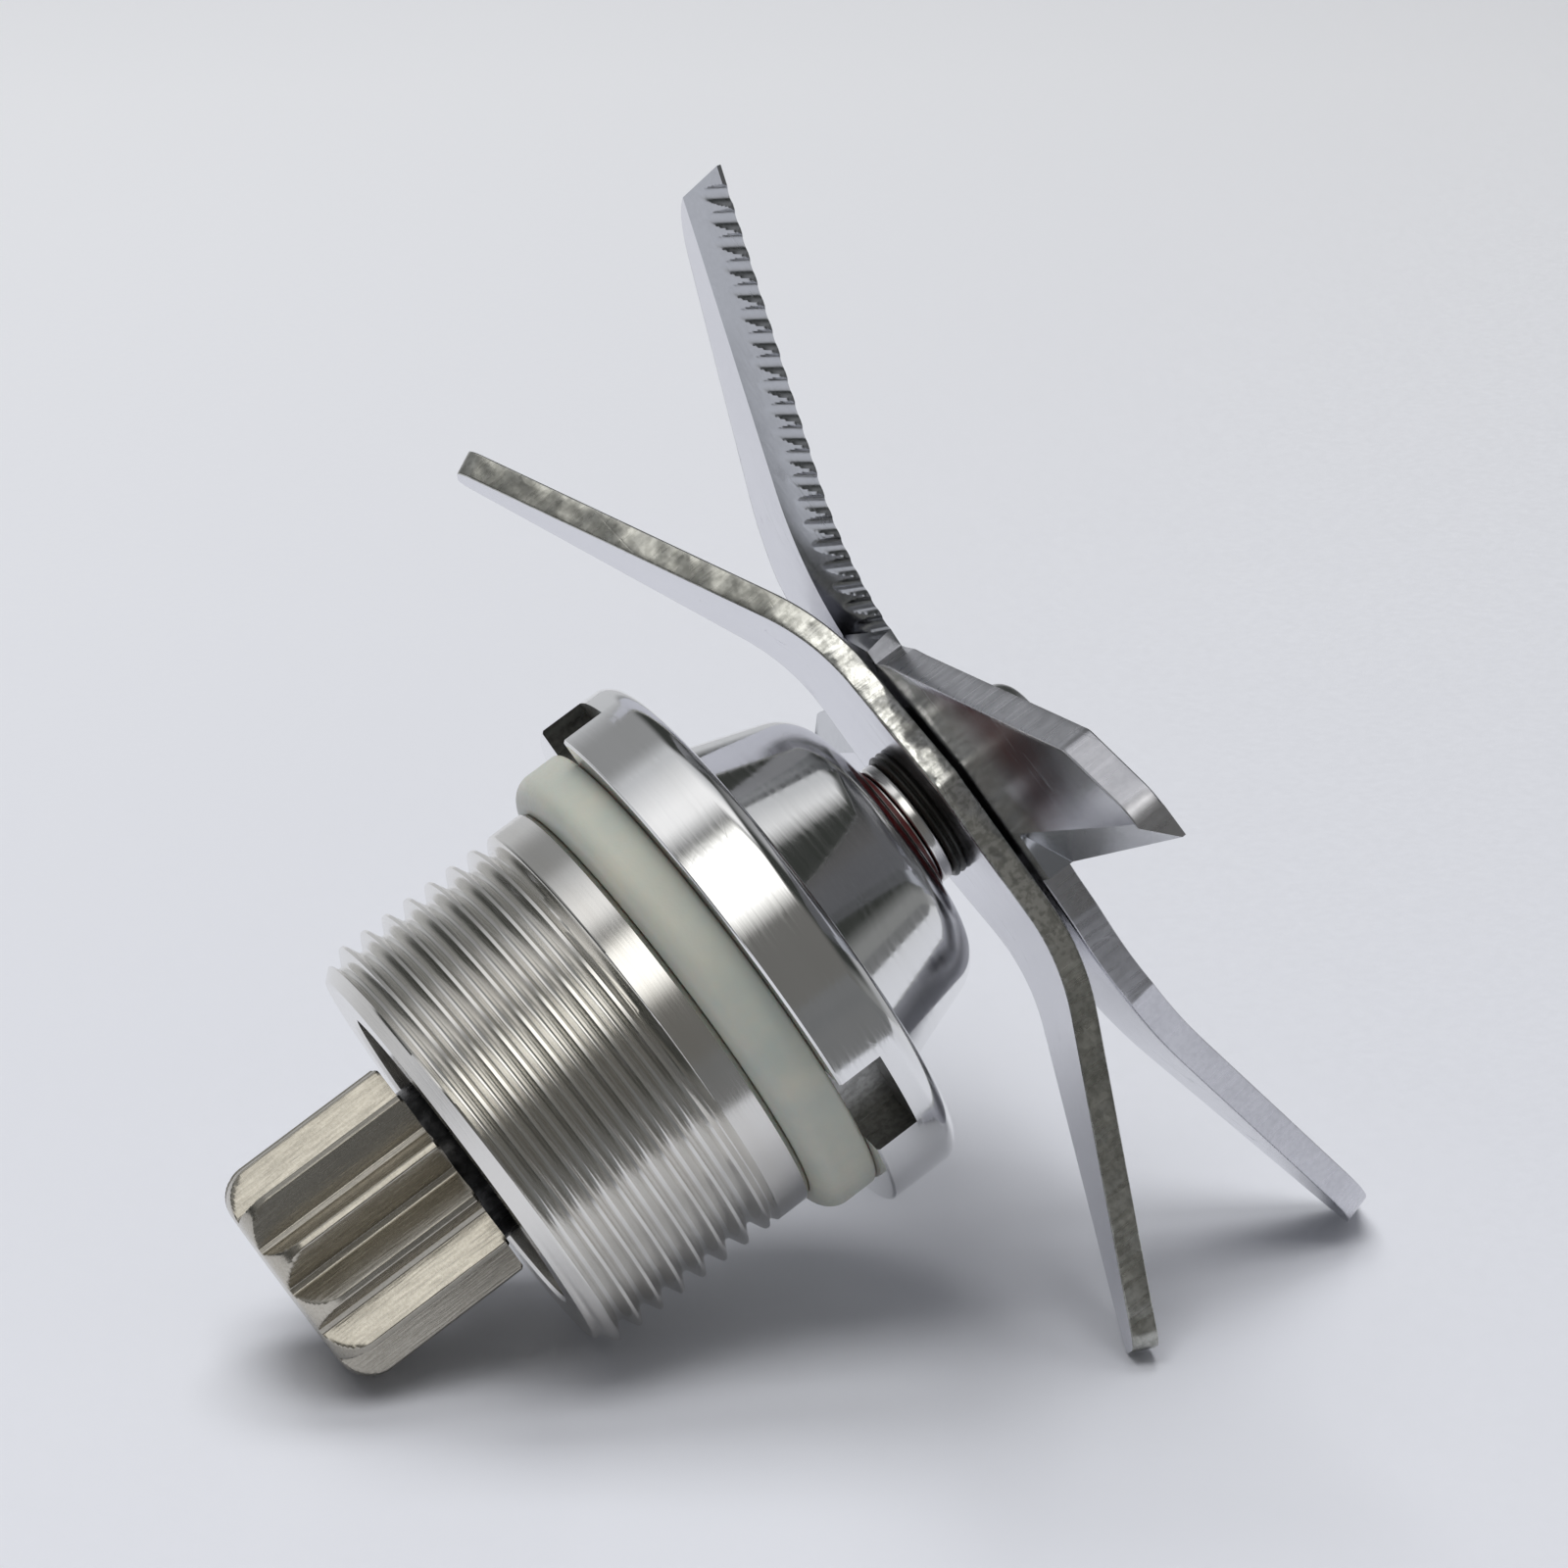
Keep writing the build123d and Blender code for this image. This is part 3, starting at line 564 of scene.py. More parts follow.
@dataclass
class Housing:
    """Threaded barrel, notched flange and dome, with the gasket."""

    thread_radius: float = 18.0
    thread_pitch: float = 2.0
    thread_depth: float = 1.2
    thread_crest: float = 0.25
    thread_root: float = 0.4
    thread_fade: float = 0.9
    pilot_bottom: float = -7.65
    pilot_top: float = -5.1
    barrel_end: float = -24.1
    lead_height: float = 1.5
    lead_depth: float = 1.4
    groove_radius: float = 17.6
    groove_bottom: float = -4.65
    flange_radius: float = 22.0
    flange_height: float = 6.45
    flange_round: float = 1.5
    edge_break: float = 0.18
    notch_count: int = 3
    notch_azimuth: float = 13.0
    notch_width: float = 7.8
    notch_height: float = 3.6
    notch_depth: float = 3.4
    dome_base: float = 15.1
    dome_corner: tuple[float, float] = (11.85, 16.0)
    dome_top: float = 16.7
    dome_round: float = 4.0
    pocket_radius: float = 8.0
    pocket_floor: float = 10.7
    pocket_lip: float = 0.6
    throat_radius: float = 5.7
    throat_bottom: float = 6.1
    shelf_radius: float = 10.0
    shelf_bottom: float = 4.3
    bore_radius: float = 13.02
    bore_break: float = 0.25
    clip_top: float = -21.55
    clip_bottom: float = -22.85
    clip_depth: float = 0.6
    gasket_radius: float = 20.0
    gasket_inner: float = 17.62
    gasket_round: float = 1.9
    gasket_top_round: float = 0.4

    def columns(self) -> tuple[Array, Array, Array]:
        """Angles of the grid's columns, set close at the notches' side walls.

        Returns:
            Angles at the barrel, angles at the flange's rim, and which columns lie in a notch.
        """
        half = self.notch_width / 2
        outer = math.asin(half / self.flange_radius)
        inner = math.atan(half / (self.flange_radius - self.notch_depth))
        step = 2 * math.pi / self.notch_count
        tiny, within, between = 0.0006, 21, 76
        in_low = np.linspace(-inner, inner, within)
        in_high = np.linspace(-outer + tiny, outer - tiny, within)
        out_low = np.linspace(inner + tiny, step - inner - tiny, between)
        out_high = np.linspace(outer, step - outer, between)
        low, high = np.concatenate([in_low, out_low]), np.concatenate([in_high, out_high])
        notch = np.concatenate([np.ones(within, bool), np.zeros(between, bool)])
        turns = math.radians(self.notch_azimuth) + step * np.arange(self.notch_count)[:, None]
        return (low + turns).ravel(), (high + turns).ravel(), np.tile(notch, self.notch_count)

    def thread(self, azimuths: Array) -> Array:
        """Helical thread: rows climb one pitch in a turn, the radius falls from crest to root.

        With p the place along the pitch, the radius is the crest's less the depth times a ramp that
        is 0 on the crest flat, 1 on the root flat and linear on the flanks, softened at its ends. The
        depth fades out towards the pilot, and the lead cone cuts off the far end.

        Args:
            azimuths: Angles of the columns, in radians.

        Returns:
            Grid of points, from the pilot to the barrel's end.
        """
        turns = (self.pilot_bottom - self.barrel_end) / self.thread_pitch
        per_turn = 16
        place = np.arange(-1, (turns + 1) * per_turn + 2) / per_turn
        climb = (azimuths - azimuths[0]) / (2 * math.pi)
        height = self.pilot_bottom - self.thread_pitch * (place[:, None] - climb[None, :])
        height = np.clip(height, self.barrel_end, self.pilot_bottom)
        phase = np.abs((place % 1.0) - 0.5) * 2
        crest, root = self.thread_crest / self.thread_pitch, self.thread_root / self.thread_pitch
        ramp = np.clip((1 - phase - crest) / (1 - crest - root), 0, 1)
        ramp = 0.75 * ramp + 0.25 * ramp * ramp * (3 - 2 * ramp)
        fade = np.clip((self.pilot_bottom - height) / self.thread_fade, 0, 1)
        radius = self.thread_radius - self.thread_depth * ramp[:, None] * fade
        lead = self.thread_radius - self.lead_depth * np.clip(
            1 - (height - self.barrel_end) / self.lead_height, 0, 1)
        radius = np.minimum(radius, lead)
        return np.stack([radius * np.cos(azimuths), radius * np.sin(azimuths), height], -1)

    def flange_wall(self, low: Array, high: Array, notch: Array) -> Array:
        """Underside and lower wall of the flange, stepped in at the notches.

        In a notch the wall is the plane at the notch's depth, R = depth plane / cos(angle from the
        notch's middle). Its ceiling runs back out to the rim.

        Args:
            low: Column angles at the barrel.
            high: Column angles at the rim.
            notch: Which columns lie in a notch.

        Returns:
            Grid of points from the groove to the rim above the notches.
        """
        step = 2 * math.pi / self.notch_count
        middle = math.radians(self.notch_azimuth)
        aside = (low - middle + step / 2) % step - step / 2
        wall = np.where(notch, (self.flange_radius - self.notch_depth) / np.cos(aside), self.flange_radius)
        angle = np.where(notch, low, high)
        in_edge = np.where(notch, wall, self.flange_radius - self.edge_break)
        rows = [
            (np.full_like(low, self.groove_radius), low, 0.0),
            (in_edge, angle, 0.0),
            (wall, angle, np.where(notch, 0.0, self.edge_break)),
            (wall, angle, self.notch_height),
            (np.full_like(low, self.flange_radius), high, self.notch_height),
        ]
        return np.stack([np.stack([r * np.cos(a), r * np.sin(a), np.broadcast_to(z, r.shape)], -1)
                         for r, a, z in rows])

    def build(self, finishes: Finishes) -> None:
        """Build and seat the housing and the gasket.

        Args:
            finishes: Materials of the assembly.
        """
        low, high, notch = self.columns()
        around = np.append(high, high[0] + 2 * math.pi)
        shell = Shell()
        shell.grid(self.thread(around), 0)
        pilot = np.array([
            (self.thread_radius, self.pilot_bottom), (self.thread_radius, self.pilot_bottom + 0.05),
            (self.thread_radius, self.pilot_top - 0.05), (self.thread_radius, self.pilot_top),
            (self.groove_radius, self.groove_bottom), (self.groove_radius, 0.0)])
        angles = np.repeat(high[None, :], len(pilot), 0)
        angles[-1] = low
        shell.grid(turned(pilot, angles), 0, ring=True)
        # The notch columns take the milled finish, which is darkened with painted shade.
        shaded_milled = np.where(notch | np.roll(notch, -1), 2, 1)
        shell.grid(self.flange_wall(low, high, notch), ring=True, tags=shaded_milled)
        dome = rounded([
            (self.flange_radius, self.notch_height), (self.flange_radius, self.flange_height),
            (self.dome_base, self.flange_height), self.dome_corner,
            (self.pocket_radius, self.dome_top), (self.pocket_radius, self.dome_top - self.pocket_lip)],
            [0, self.flange_round, 0.12, self.dome_round, 0.25, 0], steps=14)
        shell.grid(turned(dome, high), 1, ring=True)
        clip_radius = self.bore_radius + self.clip_depth
        inside = np.array([
            (self.pocket_radius, self.dome_top - self.pocket_lip), (self.pocket_radius, self.pocket_floor),
            (self.throat_radius, self.pocket_floor), (self.throat_radius, self.throat_bottom),
            (self.shelf_radius, self.throat_bottom), (self.shelf_radius, self.shelf_bottom),
            (self.bore_radius, self.shelf_bottom), (self.bore_radius, self.clip_top),
            (clip_radius, self.clip_top), (clip_radius, self.clip_bottom),
            (self.bore_radius, self.clip_bottom), (self.bore_radius, self.barrel_end + self.bore_break),
            (self.bore_radius + self.bore_break, self.barrel_end),
            (self.thread_radius - self.lead_depth, self.barrel_end)])
        shell.grid(turned(inside, high), 0, ring=True)
        body = shell.make("housing_skin", [finishes.turned, finishes.polished, finishes.shaded_milled], sharp=32)
        seat(body, Body.HOUSING, "aluminium", "housing")

        ring = rounded([
            (self.gasket_inner, self.groove_bottom), (self.gasket_radius, self.groove_bottom),
            (self.gasket_radius, -0.01), (self.gasket_inner, -0.01)],
            [0.15, self.gasket_round, self.gasket_top_round, 0.1], closed=True, steps=12)
        seat(turned_ring("gasket_ring", ring, finishes.silicone, 240), Body.HOUSING, "silicone", "gasket")


@dataclass
class Seal:
    """Rubber lip seal in the top of the dome."""

    case_radius: float = 7.98
    bottom: float = 10.7
    shoulder: float = 16.66
    crown_radius: float = 6.28
    crown_height: float = 17.05
    top_radius: float = 5.65
    top: float = 17.4
    bore: float = 5.25
    lip_radius: float = 5.05
    lip_top: float = 12.2
    lip_bottom: float = 11.45
    groove_inner: float = 6.25
    groove_outer: float = 7.2
    groove_top: float = 14.8

    def build(self, finishes: Finishes) -> None:
        """Turn the seal's closed section and seat it.

        Args:
            finishes: Materials of the assembly.
        """
        line = rounded([
            (self.groove_outer, self.bottom), (self.case_radius, self.bottom),
            (self.case_radius, self.shoulder), (self.crown_radius, self.crown_height),
            (self.top_radius, self.top), (self.bore, self.top),
            (self.bore, self.groove_top), (self.lip_radius, self.lip_top), (self.lip_radius, self.lip_bottom),
            (self.bore, self.bottom), (self.groove_inner, self.bottom), (self.groove_inner, self.groove_top),
            (self.groove_outer, self.groove_top)],
            [0, 0.2, 0.2, 0.4, 0.2, 0.12, 0, 0, 0, 0, 0, 0, 0], closed=True, steps=6)
        seat(turned_ring("seal_ring", line, finishes.red_rubber), Body.HOUSING, "red_rubber", "shaft_seal")


# Drive end

@dataclass
class DriveSpline:
    """Toothed drive end with a rounded nose."""

    teeth: int = 12
    azimuth: float = 17.0
    tip_radius: float = 9.5
    root_radius: float = 7.3
    crest: float = 0.55
    root: float = 0.5
    top: float = -25.1
    bottom: float = -40.1
    nose: float = 2.8
    bore: float = 5.2
    top_break: float = 0.2
    finest: float = 0.35

    def outline(self) -> Array:
        """Closed tooth outline with softened crests and roots.

        Returns:
            Points of the outline in plan.
        """
        crest_half = math.asin(self.crest / 2 / self.tip_radius)
        root_half = math.asin(self.root / 2 / self.root_radius)
        step = 2 * math.pi / self.teeth
        crests = math.radians(self.azimuth) + step * np.arange(self.teeth)[:, None]
        angles = np.concatenate([crests - crest_half, crests + crest_half,
                                 crests + step / 2 - root_half, crests + step / 2 + root_half], 1).ravel()
        radii = np.tile([self.tip_radius, self.tip_radius, self.root_radius, self.root_radius], self.teeth)
        corners = np.stack([radii * np.cos(angles), radii * np.sin(angles)], -1)
        soft = np.tile([0.16, 0.16, 0.22, 0.22], self.teeth)
        line = rounded([tuple(c) for c in corners], list(soft), closed=True, steps=4, hold=0.05)
        run = np.vstack([line, line[:1]])
        gap = np.linalg.norm(np.diff(run, axis=0), axis=1)
        cuts = np.maximum(1, np.ceil(gap / self.finest).astype(int))
        share = np.concatenate([np.arange(c) / c for c in cuts])
        first = np.repeat(np.arange(len(line)), cuts)
        return run[first] + share[:, None] * (run[first + 1] - run[first])

    def build(self, finishes: Finishes) -> None:
        """Carry the outline up the axis, held inside the rounded nose, and close both ends.

        At height h over the nose's end the radius is held under the tip's less n plus the square root
        of n squared less (n - h) squared, where n is the nose's rounding.

        Args:
            finishes: Materials of the assembly.
        """
        outline = self.outline()
        radius = np.linalg.norm(outline, axis=1)
        sweep = np.linspace(0, math.pi / 2, 26)
        rise = self.nose * (1 - np.cos(sweep))
        limit = self.tip_radius - self.nose * (1 - np.sin(sweep))
        length = self.top - self.bottom
        shoulder = length - self.top_break
        rise = np.concatenate([rise, [self.nose + 0.1, shoulder - 0.1, shoulder, length]])
        limit = np.concatenate([limit, np.full(3, self.tip_radius), [self.tip_radius - self.top_break]])
        held = np.minimum(1.0, limit[:, None] / radius[None, :])
        rows = np.concatenate([outline[None] * held[:, :, None], np.broadcast_to(
            (self.bottom + rise)[:, None, None], (len(rise), len(outline), 1))], -1)
        ends = []
        for share, row in ((0.0, rows[0]), (self.bore / self.tip_radius, rows[-1])):
            end = row.copy()
            direction = row[:, :2] / np.linalg.norm(row[:, :2], axis=1)[:, None]
            end[:, :2] = direction * share * self.tip_radius
            ends.append(end[None])
        shell = Shell()
        shell.grid(np.concatenate([ends[0], rows, ends[1]]), 0, ring=True)
        seat(shell.make("spline_teeth", [finishes.nickel], sharp=30), Body.ROTOR, "nickel", "drive_spline")


# Blades

# Points of a section on a rounded corner, on a straight side, on a whole wall and on the cutting land.
CORNER_POINTS = 3
SIDE_POINTS = 5
WALL_POINTS = 2 * CORNER_POINTS + SIDE_POINTS
LAND_POINTS = 2
HALF_TURNS = (0, 180)


@dataclass(frozen=True)
class Bend:
    """Bend of a sheet: flat as far as start, an arc of radius, then straight at angle."""

    start: float
    radius: float
    angle: float
    skew: float

    def lift(self, out: Array, across: Array, height: Array) -> Array:
        """Carry plan points of the flat lower face, and heights over it, onto the bent sheet.

        The distance along the bend is out cos(skew) - across sin(skew). The face rises by
        R - sqrt(R^2 - s^2) on the arc and by tan(angle) beyond it, and heights stand square to it.

        Args:
            out: Distance along the arm.
            across: Distance across the arm.
            height: Height over the lower face.

        Returns:
            Points in the arm's frame, over a lower face at height 0.
        """
        skew, turn = math.radians(self.skew), math.radians(abs(self.angle))
        up = 1.0 if self.angle >= 0 else -1.0
        along = out * math.cos(skew) - across * math.sin(skew) - self.start
        arc = self.radius * math.sin(turn)
        on_arc = np.clip(along, 0, arc)
        slope = np.arcsin(on_arc / self.radius)
        rise = self.radius * (1 - np.cos(slope)) + np.maximum(along - arc, 0) * math.tan(turn)
        tilt = up * np.sin(slope)
        return np.stack([out - height * tilt * math.cos(skew), across + height * tilt * math.sin(skew),
                         up * rise + height * np.cos(slope)], -1)


def spin(points: Array, azimuth: float, lift: float = 0.0) -> Array:
    """Turn points about Z by an azimuth in degrees and lift them.

    Args:
        points: Points with three coordinates in the last axis.
        azimuth: Angle in degrees.
        lift: Height that is added.

    Returns:
        The moved points.
    """
    angle = math.radians(azimuth)
    x, y, z = np.moveaxis(points, -1, 0)
    return np.stack([x * math.cos(angle) - y * math.sin(angle), x * math.sin(angle) + y * math.cos(angle),
                     z + lift], -1)


def along_line(line: Array, share: Array) -> Array:
    """Points at shares of a line's length.

    Args:
        line: Corner points, one row each.
        share: Shares from 0 to 1.

    Returns:
        Points of the line, one for each share.
    """
    gaps = np.linalg.norm(np.diff(line, axis=0), axis=1)
    done = np.concatenate([[0], np.cumsum(gaps)]) / gaps.sum()
    return np.stack([np.interp(share, done, line[:, 0]), np.interp(share, done, line[:, 1])], -1)


@dataclass
class LowerBlade:
    """Long blade with two arms that taper to blunt tips and lean down."""

    bottom: float = 19.9
    thickness: float = 2.0
    azimuth: float = -5.6
    reach: float = 41.8
    hub_half: float = 10.9
    tip_half: float = 2.1
    tip_round: float = 1.05
    edge_round: float = 0.16
    face_points: int = 41
    bend: Bend = Bend(10.9, 18.4, -25.6, -4.6)

    def section(self) -> tuple[Array, Array, Array]:
        """Closed section of the sheet with rounded edges.

        Returns:
            Share of the half width, inset from it and height of each point around the section.
        """
        across = np.linspace(-1, 1, self.face_points)
        turn = np.linspace(0, math.pi / 2, CORNER_POINTS + 2)[1:-1]
        soft, top = self.edge_round, self.thickness
        wall = np.ones(WALL_POINTS)
        share = np.concatenate([across, wall, across[::-1], -wall])
        corner_in, corner_up = soft * (1 - np.sin(turn)), soft * (1 - np.cos(turn))
        inset_side = np.concatenate([corner_in, np.zeros(SIDE_POINTS), corner_in[::-1]])
        side = np.linspace(soft, top - soft, SIDE_POINTS)
        height_side = np.concatenate([corner_up, side, top - corner_up[::-1]])
        face = np.ones(self.face_points)
        inset = np.concatenate([face * soft, inset_side, face * soft, inset_side])
        height = np.concatenate([face * 0, height_side, face * top, height_side[::-1]])
        return share, inset, height

    def arm(self) -> Array:
        """One arm: the section carried outward while the half width tapers and the tip rounds off.

        Returns:
            Grid of points, from the hub's middle to the tip.
        """
        round_start = self.reach - self.tip_round
        out = np.concatenate([
            np.linspace(0, round_start, 90),
            round_start + self.tip_round * np.sin(np.linspace(0, math.pi / 2, 9))[1:]])
        half = self.hub_half + (self.tip_half - self.hub_half) * out / self.reach
        past = np.clip(out - round_start, 0, None)
        half = half - self.tip_round + np.sqrt(self.tip_round ** 2 - past ** 2)
        share, inset, height = self.section()
        across = share[None] * (half[:, None] - inset[None])
        outs = np.broadcast_to(out[:, None], across.shape)
        heights = np.broadcast_to(height[None], across.shape)
        body = self.bend.lift(outs, across, heights)
        flat = np.full_like(height, self.thickness / 2)
        cap = self.bend.lift(outs[-1], across[-1], flat)
        return np.concatenate([body, cap[None]])

    def build(self, finishes: Finishes) -> None:
        """Build both arms as one piece and seat it.

        Args:
            finishes: Materials of the assembly.
        """
        grid = self.arm()
        tags = np.tile(np.repeat([0, 1], [self.face_points - 1, WALL_POINTS + 1]), 2)
        shell = Shell()
        for half_turn in HALF_TURNS:
            placed = spin(grid, self.azimuth + half_turn, self.bottom)
            shell.grid(placed[:-1], ring=True, tags=tags)
            shell.grid(placed[-2:], 1, ring=True)
        blade = shell.make("lower_blade_sheet", [finishes.blade, finishes.sheared], sharp=24)
        seat(blade, Body.ROTOR, "blade_steel", "lower_blade")


@dataclass(frozen=True)
class Flutes:
    """Row of round flutes across a bevel: pitch, cutter radius, angle, bite and the row's ends."""

    pitch: float = 1.8
    radius: float = 1.0
    angle: float = 31.0
    bite: float = 0.4
    first: float = 15.6
    count: int = 20

    def sag(self, out: Array) -> Array:
        """How far the cutter lies below its crown, R - sqrt(R^2 - x^2), beside the nearest flute."""
        index = np.clip(np.round((out - self.first) / self.pitch), 0, self.count - 1)
        aside = np.minimum(np.abs(out - self.first - index * self.pitch), self.radius * 0.999)
        return self.radius - np.sqrt(self.radius ** 2 - aside ** 2)

    def edge(self, out: Array) -> Array:
        """Depth of the scallops in the cutting edge, bite - sag / sin(angle), where it is positive."""
        return np.maximum(self.bite - self.sag(out) / math.sin(math.radians(self.angle)), 0)

    def height(self, out: Array, depth: Array, thickness: float) -> Array:
        """Height of the fluted underside at a depth behind the edge.

        Args:
            out: Distance along the arm.
            depth: Distance behind the cutting edge.
            thickness: Thickness of the sheet.

        Returns:
            thickness - (depth - bite) tan(angle) - sag / cos(angle), no more than the thickness.
        """
        lean = math.radians(self.angle)
        fall = (depth - self.bite) * math.tan(lean) + self.sag(out) / math.cos(lean)
        return np.minimum(thickness - fall, thickness)


@dataclass
class Arm:
    """Arm of the upper blade in its own frame: +X runs outward and +Y to the cutting edge."""

    azimuth: float
    bend: Bend
    root_cut: float
    tip: tuple[float, float]
    back: Sequence[tuple[float, float]]
    back_rounds: Sequence[float]
    bevel_root: float
    bevel_tip: float
    stations: int
    flutes: Flutes | None = None

    def stops(self, start: float) -> Array:
        """Distances of the sections along the arm, with one on each ridge between two flutes.

        Args:
            start: Distance of the inner corner.

        Returns:
            Rising distances from the corner to the tip.
        """
        if not self.flutes:
            return np.linspace(start, self.tip[0], self.stations)
        ridge = self.flutes.first - self.flutes.pitch / 2
        step = self.flutes.pitch / 14
        fluted = np.arange(ridge, self.tip[0] - step / 2, step)
        return np.concatenate([np.linspace(start, ridge, 21)[:-1], fluted, self.tip[:1]])

    def cut(self, out: Array) -> Array:
        """Distance across of the cutting line, linear from root to tip."""
        return self.root_cut + (self.tip[1] - self.root_cut) * out / self.tip[0]


@dataclass
class UpperBlade:
    """Cross-shaped blade: two serrated arms that lean up and two plain arms."""

    bottom: float = 22.2
    thickness: float = 2.4
    land: float = 0.3
    bevel_start: float = 14.6
    bevel_run: float = 0.35
    end_share: float = 0.4
    end_lean: float = 5.0
    bevel_rows: int = 46
    web_rows: int = 18
    top_bevel: int = 5
    top_columns: int = 10
    end_web: float = 0.3
    edge_round: float = 0.16
    serrated: Arm = field(default_factory=lambda: Arm(
        21.8, Bend(14.0, 47.0, 15.77, 14.9), 4.3, (52.0, 3.3),
        [(0.0, -12.5), (8.5, -13.8), (17.0, -13.8), (47.6, -5.6)], [0, 0, 0, 8.0], 4.9, 4.9, 320, Flutes()))
    plain: Arm = field(default_factory=lambda: Arm(
        102.8, Bend(12.0, 12.0, 1.5, 0.0), 8.9, (48.4, 0.3),
        [(0.0, -12.5), (10.0, -12.7), (42.4, -8.1), (47.8, -3.3)], [0, 0, 1.2, 3.0], 4.9, 2.6, 180))

    def corner(self, cutting: Arm, backing: Arm, gap: float) -> tuple[Array, Array, int]:
        """Inner corner where one arm's cutting line meets the next arm's back.

        Args:
            cutting: Arm on whose cutting line the corner lies.
            backing: Next arm round, on whose back it lies.
            gap: Angle in degrees from the first arm to the next.

        Returns:
            The corner in each arm's frame, and the number of the back's run that it lies on.
        """
        far = np.array([[0.0, cutting.root_cut], cutting.tip])
        ends = spin(np.concatenate([far, np.zeros((2, 1))], 1), -gap)[:, :2]
        along = ends[1] - ends[0]
        for run in range(len(backing.back) - 1):
            first, second = np.array(backing.back[run]), np.array(backing.back[run + 1])
            share, place = np.linalg.solve(np.stack([along, first - second], 1), first - ends[0])
            if 0 <= place <= 1 and 0 <= share <= 1:
                break
        on_cut = far[0] + share * (far[1] - far[0])
        return on_cut, first + place * (second - first), run

    def arm_grids(self, arm: Arm, on_cut: Array, on_back: Array, run: int) -> tuple[Array, Array, Array]:
        """Grids of one arm.

        Each section runs square to the cutting line across the bevel, leaning over to the end's own
        direction near the tip, and from there straight to the back. The underside of the bevel rises
        towards the edge by (1 - depth / width) (thickness - land), or to the flutes where they are higher.

        Args:
            arm: The arm.
            on_cut: Inner corner on its cutting line.
            on_back: Inner corner on its back.
            run: Run of the back that the corner lies on.

        Returns:
            Closed sections from the corners to the tip, and the flat hub's lower and upper grids.
        """
        corners = [tuple(on_back), *arm.back[run + 1:]]
        last, tip = np.array(corners[-1]), np.array(arm.tip)
        toward = tuple(last + (tip - last) * self.end_share)
        line = rounded([*corners, toward], [0, *arm.back_rounds[run + 1:], 0], steps=12)[:-2]
        front = arm.stops(on_cut[0])[:, None]
        share = (front[:, 0] - on_cut[0]) / (arm.tip[0] - on_cut[0])
        cut = arm.cut(front)
        rear = along_line(line, share)
        width = arm.bevel_root + (arm.bevel_tip - arm.bevel_root) * front / arm.tip[0]
        width = np.minimum(width, cut - rear[:, 1:] - self.end_web)
        near_end = np.clip((front - arm.tip[0]) / self.end_lean + 1, 0, 1)
        lean = (tip - line[-1])[0] / (tip - line[-1])[1] * near_end * near_end * (3 - 2 * near_end)
        edge = arm.flutes.edge(front) if arm.flutes else np.zeros_like(front)
        grow = np.clip(share[:, None] * 40, 0, 1)
        soft = self.edge_round * grow

        depth = edge + (width - edge) * np.linspace(0, 1, self.bevel_rows)[None]
        bevel = np.stack([front - lean * depth, cut - depth], -1)
        inner = bevel[:, -1:]
        web = rear[:, None] - inner
        length = np.linalg.norm(web, axis=-1)
        rest = (np.linspace(0, 1, self.web_rows + 1)[None, 1:] * (1 - soft / length))[..., None]
        plan = np.concatenate([bevel, inner + web * rest], 1)
        ramp = np.clip((front - self.bevel_start) / self.bevel_run, 0, 1)
        rise = (1 - depth / width) * (self.thickness - self.land) * ramp
        if arm.flutes:
            scoop = arm.flutes.height(front - lean * depth, depth, self.thickness)
            rise = np.where(ramp >= 1, np.maximum(rise, scoop), rise)
        rise = np.clip(rise, 0, self.thickness - 0.01)
        under = np.concatenate([rise, np.zeros_like(rest[..., 0])], 1)

        turn = np.linspace(0, math.pi / 2, CORNER_POINTS + 2)[None, 1:-1]
        side = soft + np.linspace(0, 1, SIDE_POINTS)[None] * (self.thickness - 2 * soft)
        corner = soft * (1 - np.sin(turn))
        inset = np.concatenate([corner, 0 * side, corner[:, ::-1]], 1)
        low = soft * (1 - np.cos(turn))
        level = np.concatenate([low, side, self.thickness - low[:, ::-1]], 1)
        back = rear[:, None] - web * (inset / length)[..., None]
        above = plan[:, self.columns()[::-1]]
        full = np.full(above.shape[:2], self.thickness)
        fall = np.linspace(1, 0, LAND_POINTS + 2)[None, 1:-1]
        land = under[:, :1] + fall * (self.thickness - under[:, :1])
        around = np.concatenate([plan, back, above, np.repeat(plan[:, :1], LAND_POINTS, 1)], 1)
        heights = np.concatenate([under, level, full, land], 1)
        loop = self.lifted(arm, around[..., 0], around[..., 1], heights)
        spread = np.linspace(0, 1, 7)[:, None, None]
        fan, roof = spread * plan[:1], spread * above[:1, ::-1]
        lower = self.lifted(arm, fan[..., 0], fan[..., 1], np.zeros(fan.shape[:2]))
        upper = self.lifted(arm, roof[..., 0], roof[..., 1], np.full(roof.shape[:2], self.thickness))
        return loop, lower, upper

    def columns(self) -> Array:
        """Columns of a section that its top keeps: across the bevel to its inner line, then to the back.

        Returns:
            Their indices, from the cutting edge to the back.
        """
        inner = self.bevel_rows - 1
        bevel = np.linspace(0, inner, self.top_bevel)
        web = np.linspace(inner, inner + self.web_rows, self.top_columns - self.top_bevel + 1)[1:]
        return np.concatenate([bevel, web]).round().astype(int)

    def lifted(self, arm: Arm, out: Array, across: Array, height: Array) -> Array:
        """Points of an arm's plan and heights, bent, turned to its azimuth and lifted to its place."""
        return spin(arm.bend.lift(out, across, height), arm.azimuth, self.bottom)

